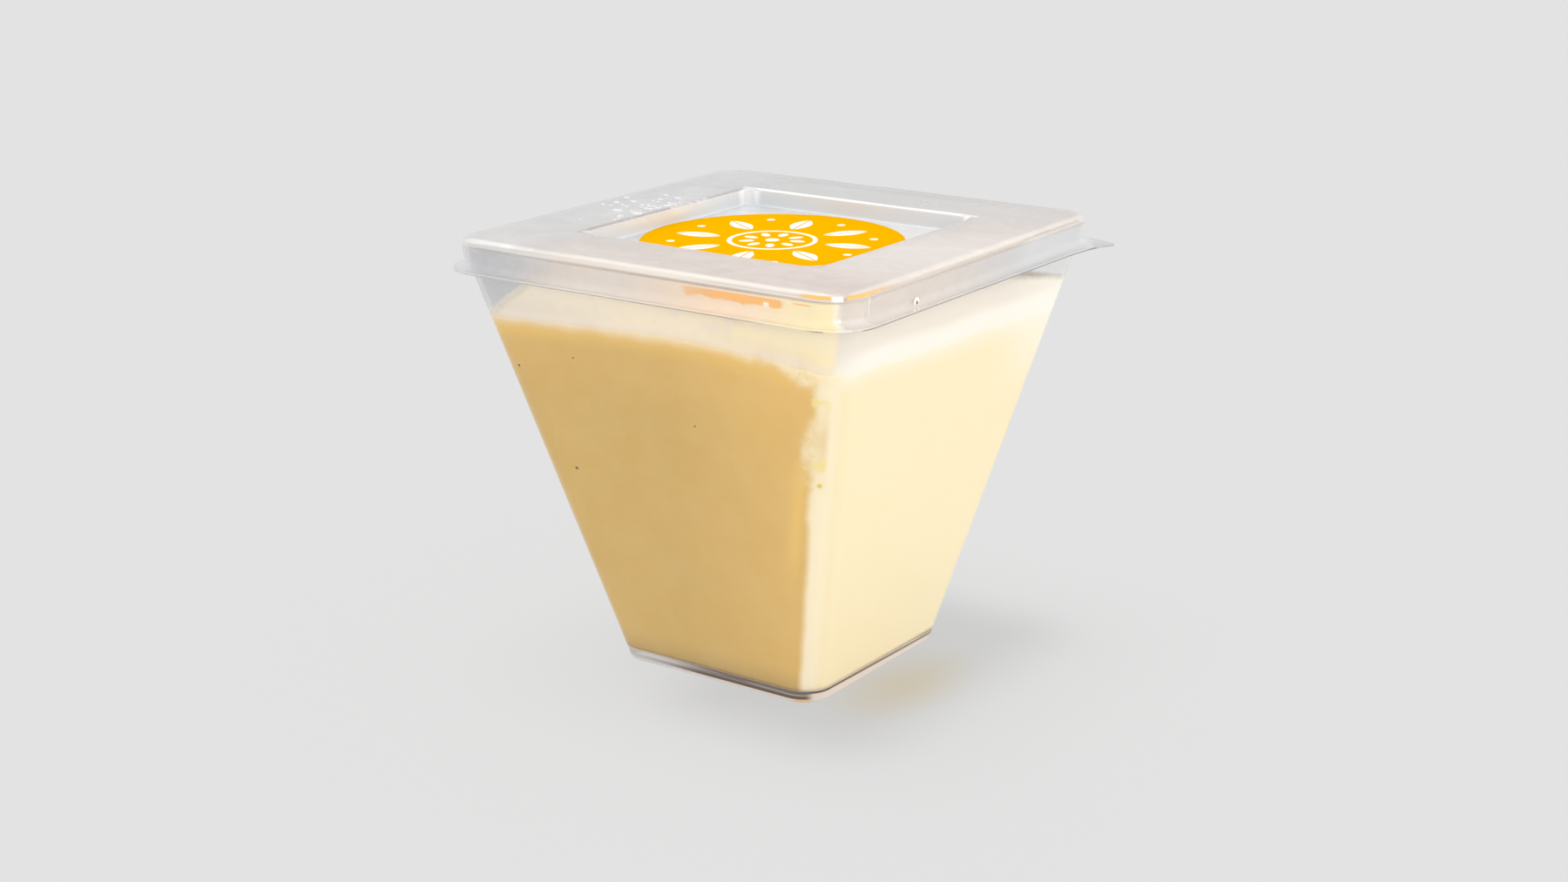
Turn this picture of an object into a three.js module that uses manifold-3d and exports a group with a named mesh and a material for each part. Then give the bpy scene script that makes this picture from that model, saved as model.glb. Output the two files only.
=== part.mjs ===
// Passion fruit ice cream in a clear cup with a press-on lid and a round sticker.
// The cup is square and tapered, narrow at the foot, with rounded corners.
// Millimetres, +Z up. The origin is the centre of the flat underside of the cup.
// The wider pair of lid edges in view faces -Y, and the pull tab is at the +X +Y corner.

import * as THREE from 'three';
import { mergeVertices } from 'three/addons/utils/BufferGeometryUtils.js';
import Module from 'manifold-3d';

// Clearances
const GAP = 0.3;
const STICKER_GAP = 0.1;

// Cup: sides are across the flats, corners are radii seen from above
const BASE_SIDE = 41;
const BASE_CORNER = 5;
const MOUTH_SIDE = 76.6;
const MOUTH_CORNER = 5.5;
const MOUTH_HEIGHT = 70.6;
const CUP_WALL = 0.9;
const CUP_FLOOR = 1.8;
const FOOT_ROUND = 0.4;
const FLOOR_FILLET = 1.2;

// Collar: the upright band of the cup that the lid is pressed over
const COLLAR_SIDE = 76.9;
const COLLAR_START = 71.2;
const CUP_HEIGHT = 75.2;
const COLLAR_WALL = 1.0;
const RIM_ROUND = 0.5;
const RIM_INNER_ROUND = 0.3;

// Lid: a thin shell with a rounded shoulder, a skirt and an out-turned lip
const LID_HEIGHT = 76;
const LID_WALL = 0.4;
const SHOULDER_SIDE = 78.9;
const SHOULDER_CORNER = 6;
const SHOULDER_ROUND = 1.5;
const SKIRT_SIDE = 78.4;
const FLARE_HEIGHT = 72.2;
const FLARE_ROUND = 1.2;
const LIP_SIDE = 82;
const LIP_BOTTOM = 70.6;

// Recess of the lid that holds the sticker
const RECESS_SIDE = 48;
const RECESS_FLOOR_SIDE = 47.6;
const RECESS_CORNER = 3.5;
const RECESS_DEPTH = 3;
const RECESS_ROUND = 0.5;

// Pull tab at one corner of the lip. Its droop starts at a distance from the middle of the lid.
const TAB_REACH = 41.9;
const TAB_START = 27;
const TAB_TIP_ROUND = 0.9;
const TAB_SEAT = 6.9;
const TAB_SEAT_CENTRE = 33.5;
const TAB_DROOP = 0.8;
const TAB_DROOP_START = 52;
const TAB_DROOP_POWER = 1.5;
const TAB_EDGE_STEPS = 4;

// Ice cream: filled to a level that slopes a little, bulges up at the front wall and has slight waves
const FILL_HEIGHT = 62;
const FILL_SLOPE_X = -0.005;
const FILL_SLOPE_Y = -0.0245;
const FILL_EDGE_ROUND = 0.7;
const FILL_BULGE = { height: 2.2, centre: [1, -37], spread: [24, 22] };
const FILL_WAVES = [
  { height: 0.15, along: [0.11, 0.05], start: 0.6 },
  { height: 0.12, along: [-0.07, 0.16], start: 2.1 },
  { height: 0.1, along: [0.31, -0.22], start: 4.0 },
];

// Sticker
const STICKER_DIAMETER = 45;
const STICKER_THICKNESS = 0.2;
const STICKER_CENTRE = [-0.9, -0.9];
const STICKER_STEPS = 56;

// How finely the rounded squares and the small roundings are divided
const CORNER_STEPS = 7;
const ROUND_STEPS = 4;
const ICE_SIDE_STEPS = 7;
const ICE_TOP_RINGS = 12;
const ICE_WALL_STEPS = 4;

const wasm = await Module();
wasm.setup();

// A closed three.js geometry as a solid that can be joined and cut.
function toSolid(geometry) {
  const bare = geometry.clone();
  bare.deleteAttribute('normal');
  bare.deleteAttribute('uv');
  const merged = mergeVertices(bare, 1e-4);
  return new wasm.Manifold(
    new wasm.Mesh({
      numProp: 3,
      vertProperties: new Float32Array(merged.attributes.position.array),
      triVerts: new Uint32Array(merged.index.array),
    }),
  );
}

// A solid back as a three.js geometry with flat faces.
function toGeometry(solid) {
  const mesh = solid.getMesh();
  const indexed = new THREE.BufferGeometry();
  indexed.setAttribute('position', new THREE.BufferAttribute(mesh.vertProperties, 3));
  indexed.setIndex(new THREE.BufferAttribute(mesh.triVerts, 1));
  const geometry = indexed.toNonIndexed();
  geometry.computeVertexNormals();
  return geometry;
}

// The steps round a rounded square: which corner, how far round its arc, and how far along
// the straight side that follows the arc.
function ringSteps(sideSteps) {
  const steps = [];
  for (let quarter = 0; quarter < 4; quarter += 1) {
    for (let turn = 0; turn <= CORNER_STEPS; turn += 1) {
      steps.push({ quarter, turn: turn / CORNER_STEPS, side: 0 });
    }
    for (let part = 1; part < sideSteps; part += 1) {
      steps.push({ quarter, turn: 1, side: part / sideSteps });
    }
  }
  return steps;
}

// One point of a rounded square with half its side and its corner radius given.
function ringPoint(half, corner, step) {
  const radius = Math.min(corner, half);
  const flat = half - radius;
  const angle = ((step.quarter + step.turn) * Math.PI) / 2;
  const middle = ((step.quarter + 0.5) * Math.PI) / 2;
  const centreX = flat * Math.sign(Math.cos(middle));
  const centreY = flat * Math.sign(Math.sin(middle));
  const x = centreX + radius * Math.cos(angle);
  const y = centreY + radius * Math.sin(angle);
  const along = 2 * flat * step.side;
  return [x - along * Math.sin(angle), y + along * Math.cos(angle)];
}

// Where a profile point comes to lie at one step of the ring. A point with a relief takes its
// height from it, and one that also has an inset then keeps that depth behind the cup's face.
function place(point, step) {
  const [x, y] = ringPoint(point.half, point.corner, step);
  const z = point.relief ? point.relief(x, y) : point.z;
  if (point.inset === undefined) return [x, y, z];
  const wall = wallPoint(z, point.inset);
  return [...ringPoint(wall.half, wall.corner, step), z];
}

// Turns a profile into a closed body whose level sections are rounded squares: a lathe whose
// circles are then squared. The profile runs from the axis, out along the underside and back.
function squareLathe(profile, sideSteps = 1) {
  const steps = ringSteps(sideSteps);
  const outline = profile.map((p) => new THREE.Vector2(p.half, p.z));
  const geometry = new THREE.LatheGeometry(outline, steps.length);
  const position = geometry.attributes.position;
  for (let i = 0; i < position.count; i += 1) {
    const step = steps[Math.floor(i / profile.length) % steps.length];
    position.setXYZ(i, ...place(profile[i % profile.length], step));
  }
  return geometry;
}

// Points of an arc in the profile's plane. The corner radius grows with the half side, so
// that the arc keeps the same roundness all round the square.
function arc(half, z, radius, from, to, corner) {
  const points = [];
  for (let i = 0; i <= ROUND_STEPS; i += 1) {
    const angle = THREE.MathUtils.degToRad(from + ((to - from) * i) / ROUND_STEPS);
    const out = half + radius * Math.cos(angle);
    points.push({ half: out, corner: corner(out), z: z + radius * Math.sin(angle) });
  }
  return points;
}

// Half the cup's outer side and its outer corner radius at a height.
function cupHalf(z) {
  return THREE.MathUtils.lerp(BASE_SIDE, MOUTH_SIDE, z / MOUTH_HEIGHT) / 2;
}

function cupCorner(z) {
  return THREE.MathUtils.lerp(BASE_CORNER, MOUTH_CORNER, z / MOUTH_HEIGHT);
}

// A point of the cup's wall, moved in from the outer face by a depth.
function wallPoint(z, depth) {
  return { half: cupHalf(z) - depth, corner: cupCorner(z) - depth, z };
}

function cupGeometry() {
  const collar = COLLAR_SIDE / 2;
  const footCorner = (half) => BASE_CORNER + (half - cupHalf(0));
  const collarCorner = (half) => MOUTH_CORNER + (half - collar);
  const filletZ = CUP_FLOOR + FLOOR_FILLET;
  const fillet = wallPoint(filletZ, CUP_WALL);
  const filletCorner = (half) => fillet.corner + (half - fillet.half);
  const inner = collar - COLLAR_WALL;
  return squareLathe([
    { half: 0, corner: 0, z: 0 },
    ...arc(cupHalf(FOOT_ROUND) - FOOT_ROUND, FOOT_ROUND, FOOT_ROUND, -90, 0, footCorner),
    wallPoint(MOUTH_HEIGHT, 0),
    { half: collar, corner: collarCorner(collar), z: COLLAR_START },
    ...arc(collar - RIM_ROUND, CUP_HEIGHT - RIM_ROUND, RIM_ROUND, 0, 90, collarCorner),
    ...arc(inner + RIM_INNER_ROUND, CUP_HEIGHT - RIM_INNER_ROUND, RIM_INNER_ROUND, 90, 180, collarCorner),
    { half: inner, corner: collarCorner(inner), z: COLLAR_START },
    wallPoint(MOUTH_HEIGHT - CUP_WALL, CUP_WALL),
    ...arc(fillet.half - FLOOR_FILLET, filletZ, FLOOR_FILLET, 0, -90, filletCorner),
    { half: 0, corner: 0, z: CUP_FLOOR },
  ]);
}

// The height of the ice cream's top at a place.
function fillLevel(x, y) {
  const { height, centre, spread } = FILL_BULGE;
  const away = ((x - centre[0]) / spread[0]) ** 2 + ((y - centre[1]) / spread[1]) ** 2;
  let z = FILL_HEIGHT + FILL_SLOPE_X * x + FILL_SLOPE_Y * y + height * Math.exp(-away);
  for (const wave of FILL_WAVES) {
    z += wave.height * Math.sin(wave.along[0] * x + wave.along[1] * y + wave.start);
  }
  return z;
}

function iceCreamGeometry() {
  const depth = CUP_WALL + GAP;
  const bottom = CUP_FLOOR + GAP;
  const filletZ = bottom + FLOOR_FILLET;
  const fillet = wallPoint(filletZ, depth);
  const filletCorner = (half) => fillet.corner + (half - fillet.half);
  const edge = wallPoint(FILL_HEIGHT, depth);
  const wall = [];
  for (let i = 1; i < ICE_WALL_STEPS; i += 1) {
    wall.push(wallPoint(THREE.MathUtils.lerp(filletZ, FILL_HEIGHT, i / ICE_WALL_STEPS), depth));
  }
  // The wall's upper edge follows the uneven level, a little below it
  const wallTop = (x, y) => fillLevel(x, y) - FILL_EDGE_ROUND;
  const shoulder = [
    { ...edge, inset: depth, relief: wallTop },
    { ...edge, inset: depth + FILL_EDGE_ROUND, relief: fillLevel },
  ];
  const top = [];
  for (let ring = 1; ring <= ICE_TOP_RINGS; ring += 1) {
    const share = 1 - ring / ICE_TOP_RINGS;
    top.push({
      half: (edge.half - FILL_EDGE_ROUND) * share,
      corner: (edge.corner - FILL_EDGE_ROUND) * share,
      z: FILL_HEIGHT,
      relief: fillLevel,
    });
  }
  return squareLathe(
    [
      { half: 0, corner: 0, z: bottom },
      ...arc(fillet.half - FLOOR_FILLET, filletZ, FLOOR_FILLET, -90, 0, filletCorner),
      ...wall,
      ...shoulder,
      ...top,
    ],
    ICE_SIDE_STEPS,
  );
}

// The lid's shell: its underside from the middle out to the lip, then its upper side back.
function lidShell() {
  const shoulder = SHOULDER_SIDE / 2;
  const arcHalf = shoulder - SHOULDER_ROUND;
  const arcZ = LID_HEIGHT - SHOULDER_ROUND;
  const skirt = SKIRT_SIDE / 2;
  const flareHalf = skirt + FLARE_ROUND;
  const lip = LIP_SIDE / 2;
  const recess = RECESS_SIDE / 2;
  const recessFloor = RECESS_FLOOR_SIDE / 2;
  const floorZ = LID_HEIGHT - RECESS_DEPTH;
  const edgeZ = LID_HEIGHT - RECESS_ROUND;
  const outer = (half) => SHOULDER_CORNER + (half - shoulder);
  const inner = (half) => RECESS_CORNER + (half - recess);
  const under = LID_WALL;
  const middle = recessFloor - RECESS_ROUND;
  const edge = recess + RECESS_ROUND;
  return squareLathe([
    { half: 0, corner: 0, z: floorZ - under },
    ...arc(middle, floorZ + RECESS_ROUND, RECESS_ROUND + under, -90, 0, inner),
    ...arc(edge, edgeZ, RECESS_ROUND - under, 180, 90, inner),
    ...arc(arcHalf, arcZ, SHOULDER_ROUND - under, 90, 0, outer),
    ...arc(flareHalf, FLARE_HEIGHT, FLARE_ROUND + under, 180, 270, outer),
    { half: lip, corner: outer(lip), z: LIP_BOTTOM },
    { half: lip, corner: outer(lip), z: LIP_BOTTOM + under },
    ...arc(flareHalf, FLARE_HEIGHT, FLARE_ROUND, 270, 180, outer),
    ...arc(arcHalf, arcZ, SHOULDER_ROUND, 0, 90, outer),
    ...arc(edge, edgeZ, RECESS_ROUND, 90, 180, inner),
    ...arc(middle, floorZ + RECESS_ROUND, RECESS_ROUND, 0, -90, inner),
    { half: 0, corner: 0, z: floorZ },
  ]);
}

// How far the tab hangs below the lip at a place: nothing at first, then more towards the tip.
function tabDroop(x, y) {
  const reach = Math.SQRT2 * TAB_REACH - TAB_DROOP_START;
  const share = (Math.hypot(x, y) - TAB_DROOP_START) / reach;
  return TAB_DROOP * THREE.MathUtils.clamp(share, 0, 1) ** TAB_DROOP_POWER;
}

// The pull tab: the lip's corner drawn out to a nearly sharp point, the lip's thickness.
function tabPlate() {
  const lip = LIP_SIDE / 2;
  const seat = TAB_SEAT_CENTRE + TAB_SEAT;
  const side = TAB_REACH - TAB_TIP_ROUND;
  const outline = new THREE.Shape();
  outline.moveTo(seat, TAB_START);
  for (let i = 0; i <= TAB_EDGE_STEPS; i += 1) {
    const share = i / TAB_EDGE_STEPS;
    outline.lineTo(
      THREE.MathUtils.lerp(lip, TAB_REACH, share),
      THREE.MathUtils.lerp(TAB_START, side, share),
    );
  }
  outline.quadraticCurveTo(TAB_REACH, TAB_REACH, side, TAB_REACH);
  for (let i = 1; i <= TAB_EDGE_STEPS; i += 1) {
    const share = i / TAB_EDGE_STEPS;
    outline.lineTo(
      THREE.MathUtils.lerp(side, TAB_START, share),
      THREE.MathUtils.lerp(TAB_REACH, lip, share),
    );
  }
  outline.lineTo(TAB_START, seat);
  outline.lineTo(TAB_SEAT_CENTRE, seat);
  outline.absarc(TAB_SEAT_CENTRE, TAB_SEAT_CENTRE, TAB_SEAT, Math.PI / 2, 0, true);
  outline.closePath();
  const plate = new THREE.ExtrudeGeometry(outline, {
    depth: LID_WALL,
    bevelEnabled: false,
    curveSegments: CORNER_STEPS,
  });
  const position = plate.attributes.position;
  for (let i = 0; i < position.count; i += 1) {
    const level = LIP_BOTTOM + position.getZ(i);
    position.setZ(i, level - tabDroop(position.getX(i), position.getY(i)));
  }
  return plate;
}

function lidGeometry() {
  return toGeometry(toSolid(lidShell()).add(toSolid(tabPlate())));
}

function stickerGeometry() {
  const radius = STICKER_DIAMETER / 2;
  const disc = new THREE.CylinderGeometry(radius, radius, STICKER_THICKNESS, STICKER_STEPS);
  disc.rotateX(Math.PI / 2);
  return disc;
}

const clearPlastic = new THREE.MeshStandardMaterial({
  name: 'clear_plastic',
  color: 0xe9ebec,
  roughness: 0.08,
  metalness: 0,
  transparent: true,
  opacity: 0.3,
});

const hazyPlastic = new THREE.MeshStandardMaterial({
  name: 'hazy_plastic',
  color: 0xe2e0dc,
  roughness: 0.2,
  metalness: 0,
  transparent: true,
  opacity: 0.6,
});

const passionFruitIce = new THREE.MeshStandardMaterial({
  name: 'passion_fruit_ice_cream',
  color: 0xf7e2a8,
  roughness: 0.6,
  metalness: 0,
});

const orangePaper = new THREE.MeshStandardMaterial({
  name: 'orange_sticker',
  color: 0xffbc00,
  roughness: 0.5,
  metalness: 0,
});

function piece(name, geometry, material) {
  const mesh = new THREE.Mesh(geometry, material);
  mesh.name = name;
  return mesh;
}

const dessert = new THREE.Group();
dessert.add(piece('cup', toGeometry(toSolid(cupGeometry())), clearPlastic));
dessert.add(piece('ice_cream', toGeometry(toSolid(iceCreamGeometry())), passionFruitIce));

const lid = new THREE.Group();
lid.add(piece('lid', lidGeometry(), hazyPlastic));
const sticker = piece('sticker', stickerGeometry(), orangePaper);
const stickerZ = LID_HEIGHT - RECESS_DEPTH + STICKER_GAP + STICKER_THICKNESS / 2;
sticker.position.set(STICKER_CENTRE[0], STICKER_CENTRE[1], stickerZ);
lid.add(sticker);
dessert.add(lid);

export default dessert;
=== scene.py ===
"""Passion fruit ice cream in a clear cup with its lid and round sticker.

The finished surfaces of the dessert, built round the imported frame. Lengths are metres, +Z is up, and the
origin is the centre of the flat underside of the cup. The photo's wide front face looks along -Y.
"""

import math

import bpy
import numpy as np
from mathutils import Matrix, Vector


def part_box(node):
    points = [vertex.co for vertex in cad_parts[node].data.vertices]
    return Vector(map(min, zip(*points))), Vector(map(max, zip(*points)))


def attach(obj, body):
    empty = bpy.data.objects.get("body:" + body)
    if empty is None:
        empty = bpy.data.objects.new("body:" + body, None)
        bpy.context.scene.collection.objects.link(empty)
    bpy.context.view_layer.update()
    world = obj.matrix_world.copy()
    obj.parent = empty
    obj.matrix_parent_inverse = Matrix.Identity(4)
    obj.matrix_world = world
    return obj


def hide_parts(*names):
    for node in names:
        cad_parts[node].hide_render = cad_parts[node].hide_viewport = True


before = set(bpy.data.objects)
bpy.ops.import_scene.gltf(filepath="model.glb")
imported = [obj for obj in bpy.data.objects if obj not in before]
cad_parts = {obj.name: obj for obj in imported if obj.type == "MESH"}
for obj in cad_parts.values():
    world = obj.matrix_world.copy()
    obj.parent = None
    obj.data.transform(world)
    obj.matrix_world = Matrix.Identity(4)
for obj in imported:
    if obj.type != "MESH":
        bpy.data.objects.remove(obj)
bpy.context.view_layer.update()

bl_info = {
    "name": "Passion Fruit Ice Cream Cup",
    "version": (1, 0, 0),
    "blender": (4, 5, 0),
    "location": "View3D > Sidebar > Dessert",
    "description": "A clear square cup of passion fruit ice cream with its lid and a round sticker",
    "category": "Add Mesh",
}

MM = 0.001
BODY = "root"

# Heights and widths that the frame gives
CUP_LOW, CUP_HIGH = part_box("cup")
LID_LOW, LID_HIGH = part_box("lid")
STICKER_LOW, STICKER_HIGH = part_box("sticker")
CUP_HEIGHT = CUP_HIGH.z
COLLAR_SIDE = CUP_HIGH.x - CUP_LOW.x
LID_HEIGHT = LID_HIGH.z
LIP_SIDE = -2 * LID_LOW.x
TAB_REACH = LID_HIGH.x
STICKER_RADIUS = (STICKER_HIGH.x - STICKER_LOW.x) / 2
STICKER_CENTRE = (STICKER_HIGH + STICKER_LOW) / 2


def screen(red, green, blue):
    """A screen colour from 0 to 255 as linear light: ((c + 0.055) / 1.055) to the power 2.4, straight below 0.04."""
    c = np.array([red, green, blue]) / 255
    return tuple(np.where(c <= 0.04045, c / 12.92, ((c + 0.055) / 1.055) ** 2.4).tolist())


# Settings that a user would change


def length(name, description, millimetres):
    """A length setting, given here in millimetres and kept in metres."""
    return bpy.props.FloatProperty(
        name=name, description=description, default=millimetres * MM, unit="LENGTH", precision=5
    )


def share(name, description, default):
    """A setting from 0 to 1."""
    return bpy.props.FloatProperty(
        name=name, description=description, default=default, min=0.0, max=1.0, subtype="FACTOR"
    )


def strength(name, description, default):
    """A brightness of 0 or more."""
    return bpy.props.FloatProperty(name=name, description=description, default=default, min=0.0)


def angle(name, description, degrees):
    """An angle setting, given here in degrees and kept in radians."""
    return bpy.props.FloatProperty(
        name=name, description=description, default=math.radians(degrees), unit="ROTATION", subtype="ANGLE"
    )


def colour(name, description, default):
    """A colour setting in linear light."""
    return bpy.props.FloatVectorProperty(
        name=name, description=description, default=default, size=3, min=0.0, max=1.0, subtype="COLOR"
    )


class DessertCupSettings(bpy.types.PropertyGroup):
    """Sizes and colour of the clear cup."""

    base_side: length("Base side", "Width of the foot across its flats", 41)
    base_corner: length("Base corner", "Corner radius of the foot, seen from above", 5)
    mouth_side: length("Mouth side", "Width of the tapered wall at its top", 76.6)
    mouth_corner: length("Mouth corner", "Corner radius of the wall at its top", 5.5)
    mouth_height: length("Mouth height", "Height of the top of the tapered wall", 70.6)
    collar_start: length("Collar start", "Height where the upright collar begins", 71.2)
    wall: length("Wall", "Thickness of the tapered wall", 0.9)
    floor: length("Floor", "Thickness of the cup's floor", 1.8)
    tint: colour("Tint", "Colour of the clear plastic", (0.997, 0.996, 0.992))
    # The foot's painted band stands in for what refraction in its thick clear floor shows: Foot line is its painted
    # shade lines, Foot rim a painted light rim, Foot glow a painted warm glow, and Foot haze the pale tone between them
    foot_shade_line: colour("Foot line", "Tone of the dark lines round the thick foot", screen(92, 72, 60))
    foot_light_rim: colour("Foot rim", "Tone of the pale rim under the dark lines", screen(222, 208, 194))
    foot_painted_glow: colour("Foot glow", "Tone of the rim at the front corner", screen(226, 176, 104))
    foot_haze: colour("Foot haze", "Tone of the pale haze over the foot's left end", screen(200, 195, 190))


class DessertIceCreamSettings(bpy.types.PropertyGroup):
    """Level and colours of the ice cream."""

    fill_height: length("Fill height", "Height of the ice cream's top in the middle, without its waves", 62)
    contact: length("Contact", "How far the ice cream reaches into the cup's wall", 0.12)
    edge_round: length("Edge rounding", "Roundness of the rim where the top meets the wall", 0.7)
    # Cream is the tone of the +X and +Y faces. Tan, Warm tan and Dark tan on the -X and -Y faces are part the ice
    # cream's own colour and part painted shade.
    cream: colour("Cream", "Colour of the bright faces", screen(243, 226, 183))
    # Pale cream down the front corner is part froth and part painted light
    pale_cream: colour("Pale cream", "Colour of the front corner", screen(251, 236, 206))
    bright_rim: colour("Bright rim", "Colour of the bright faces where they meet the fill's edge", screen(242, 235, 217))
    left_haze: colour("Left haze", "Colour of the haze beside the smears at the left end", screen(188, 191, 195))
    film_rim: colour("Film rim", "Colour of the smears right over the fill's edge", screen(251, 244, 235))
    veil: colour("Veil", "Colour of the frosted veil over the bright faces", screen(236, 226, 212))
    tan: colour("Tan", "Colour of the deeper toned faces", screen(203, 166, 94))
    warm_tan: colour("Warm tan", "Colour of the tan faces near their rim and edge", screen(228, 184, 104))
    dark_tan: colour("Dark tan", "Colour of the tan faces by the foot", screen(150, 128, 90))
    froth: colour("Froth", "Colour of the airy rim and the top", screen(247, 230, 189))
    pulp: colour("Pulp", "Colour of the small passion fruit blobs", screen(243, 220, 140))
    tan_rim: colour("Tan rim", "Colour of the tan faces right under the fill's edge", screen(238, 196, 108))
    smear_left: colour("Left smear", "Colour of the smears at the left end", screen(231, 219, 201))
    smear_middle: colour("Middle smear", "Colour of the smears in the middle", screen(248, 231, 201))
    smear_right: colour("Right smear", "Colour of the smears near the front corner", screen(252, 233, 187))
    speck: colour("Speck", "Colour of the few small specks", screen(132, 86, 50))
    pulp_speck: colour("Pulp speck", "Colour of the few specks of pulp", screen(222, 200, 104))
    speck_ring: colour("Speck ring", "Colour of the pale ring round a speck", screen(250, 240, 234))


class DessertLidSettings(bpy.types.PropertyGroup):
    """Sizes and colours of the thin clear lid."""

    wall: length("Wall", "Thickness of the lid's sheet", 0.4)
    shoulder_side: length("Shoulder side", "Width across the shoulder", 78.9)
    shoulder_corner: length("Shoulder corner", "Corner radius of the shoulder", 6)
    shoulder_round: length("Shoulder rounding", "Roundness of the upper edge", 1.5)
    skirt_side: length("Skirt side", "Width across the upright skirt", 78.4)
    flare_height: length("Flare height", "Height where the skirt starts to flare into the lip", 72.2)
    flare_round: length("Flare rounding", "Roundness of the flare", 1.2)
    lip_bottom: length("Lip bottom", "Height of the underside of the lip", 70.6)
    recess_side: length("Recess side", "Width of the square recess at its top", 48)
    recess_floor_side: length("Recess floor side", "Width of the square recess at its floor", 47.6)
    recess_corner: length("Recess corner", "Corner radius of the recess", 3.5)
    recess_depth: length("Recess depth", "Depth of the recess", 3)
    recess_round: length("Recess rounding", "Roundness of the edges of the recess", 0.5)
    tab_start: length("Tab start", "Where along the lip the pull tab begins", 27)
    tab_droop: length("Tab droop", "How far the tip of the tab hangs below the lip", 0.8)
    haze: colour("Haze", "Colour of the faint haze in the sheet", screen(200, 200, 200))
    warm_haze: colour("Warm haze", "Colour of the haze near the front corner", screen(231, 210, 197))
    # Bend is the colour of painted highlights: along the rounded shoulder, part whitening of the bent sheet, and along
    # the lip's upper edge
    bend: colour("Bend", "Colour of the whitened bend at the shoulder", screen(243, 234, 224))
    # Glint is a painted reflection of the orange sticker in the lid's bend
    glint: colour("Glint", "Colour of the golden glints at the front corner", screen(250, 190, 76))
    streak: colour("Streak", "Colour of the streak of fruit on the skirt", screen(252, 184, 100))
    drops: colour("Drops", "Colour of the small drops on the lid", screen(222, 222, 222))


class DessertStickerSettings(bpy.types.PropertyGroup):
    """Colours of the printed sticker."""

    ground: colour("Ground", "Colour of the printed ground", screen(240, 176, 0))
    print_white: colour("Print", "Colour of the printed motif", screen(255, 252, 244))


class DessertStageSettings(bpy.types.PropertyGroup):
    """Floor, lights and camera."""

    floor_tone: colour("Floor tone", "Tone of the plain floor as the camera sees it", screen(227, 227, 227))
    floor_diffuse: share("Floor diffuse", "Share of the floor's tone that comes from the lamps", 0.15)
    dome: strength("Dome", "Brightness of the light from overhead, over the tone seen", 0.65)
    horizon: strength("Horizon", "How much brighter than overhead the light is at the horizon", 3.0)
    key: strength("Key", "Strength of the lamp at the upper left", 0.5)
    key_spread: angle("Key spread", "How wide the upper left lamp looks from the cup", 36)
    side: strength("Side", "Strength of the lamp on the right", 0.8)
    side_spread: angle("Side spread", "How wide the right lamp looks from the cup", 70)
    # Contact and Glow set the shadow painted on the floor next to the foot and the warm glow painted beside it
    contact: share("Contact", "How much darker the floor is next to the foot", 0.14)
    glow: share("Glow", "How much warmer the floor is where light falls through the cup", 0.3)
    shade: strength("Shade", "Strength of the lamp that lights the floor alone", 3.0)
    shade_spread: angle("Shade spread", "How wide the floor's lamp looks from the cup", 34)
    azimuth: angle("Azimuth", "Turn of the camera round the cup", 35.05)
    elevation: angle("Elevation", "Height of the camera above the horizon", 16.88)
    roll: angle("Roll", "Tilt of the camera about its own axis", -0.216)
    distance: length("Distance", "Distance of the camera along its axis", 412.71)
    aside: length("Aside", "How far the cup's foot lies right of the camera's axis", -0.458)
    below: length("Below", "How far the cup's foot lies above the camera's axis", -36.09)
    focal_length: bpy.props.FloatProperty(
        name="Focal length", description="Focal length of the lens on a 36 mm sensor", default=53.15, min=1.0
    )


SETTINGS = {
    "dessert_cup": DessertCupSettings,
    "dessert_ice_cream": DessertIceCreamSettings,
    "dessert_lid": DessertLidSettings,
    "dessert_sticker": DessertStickerSettings,
    "dessert_stage": DessertStageSettings,
}


# Shader maths


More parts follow.
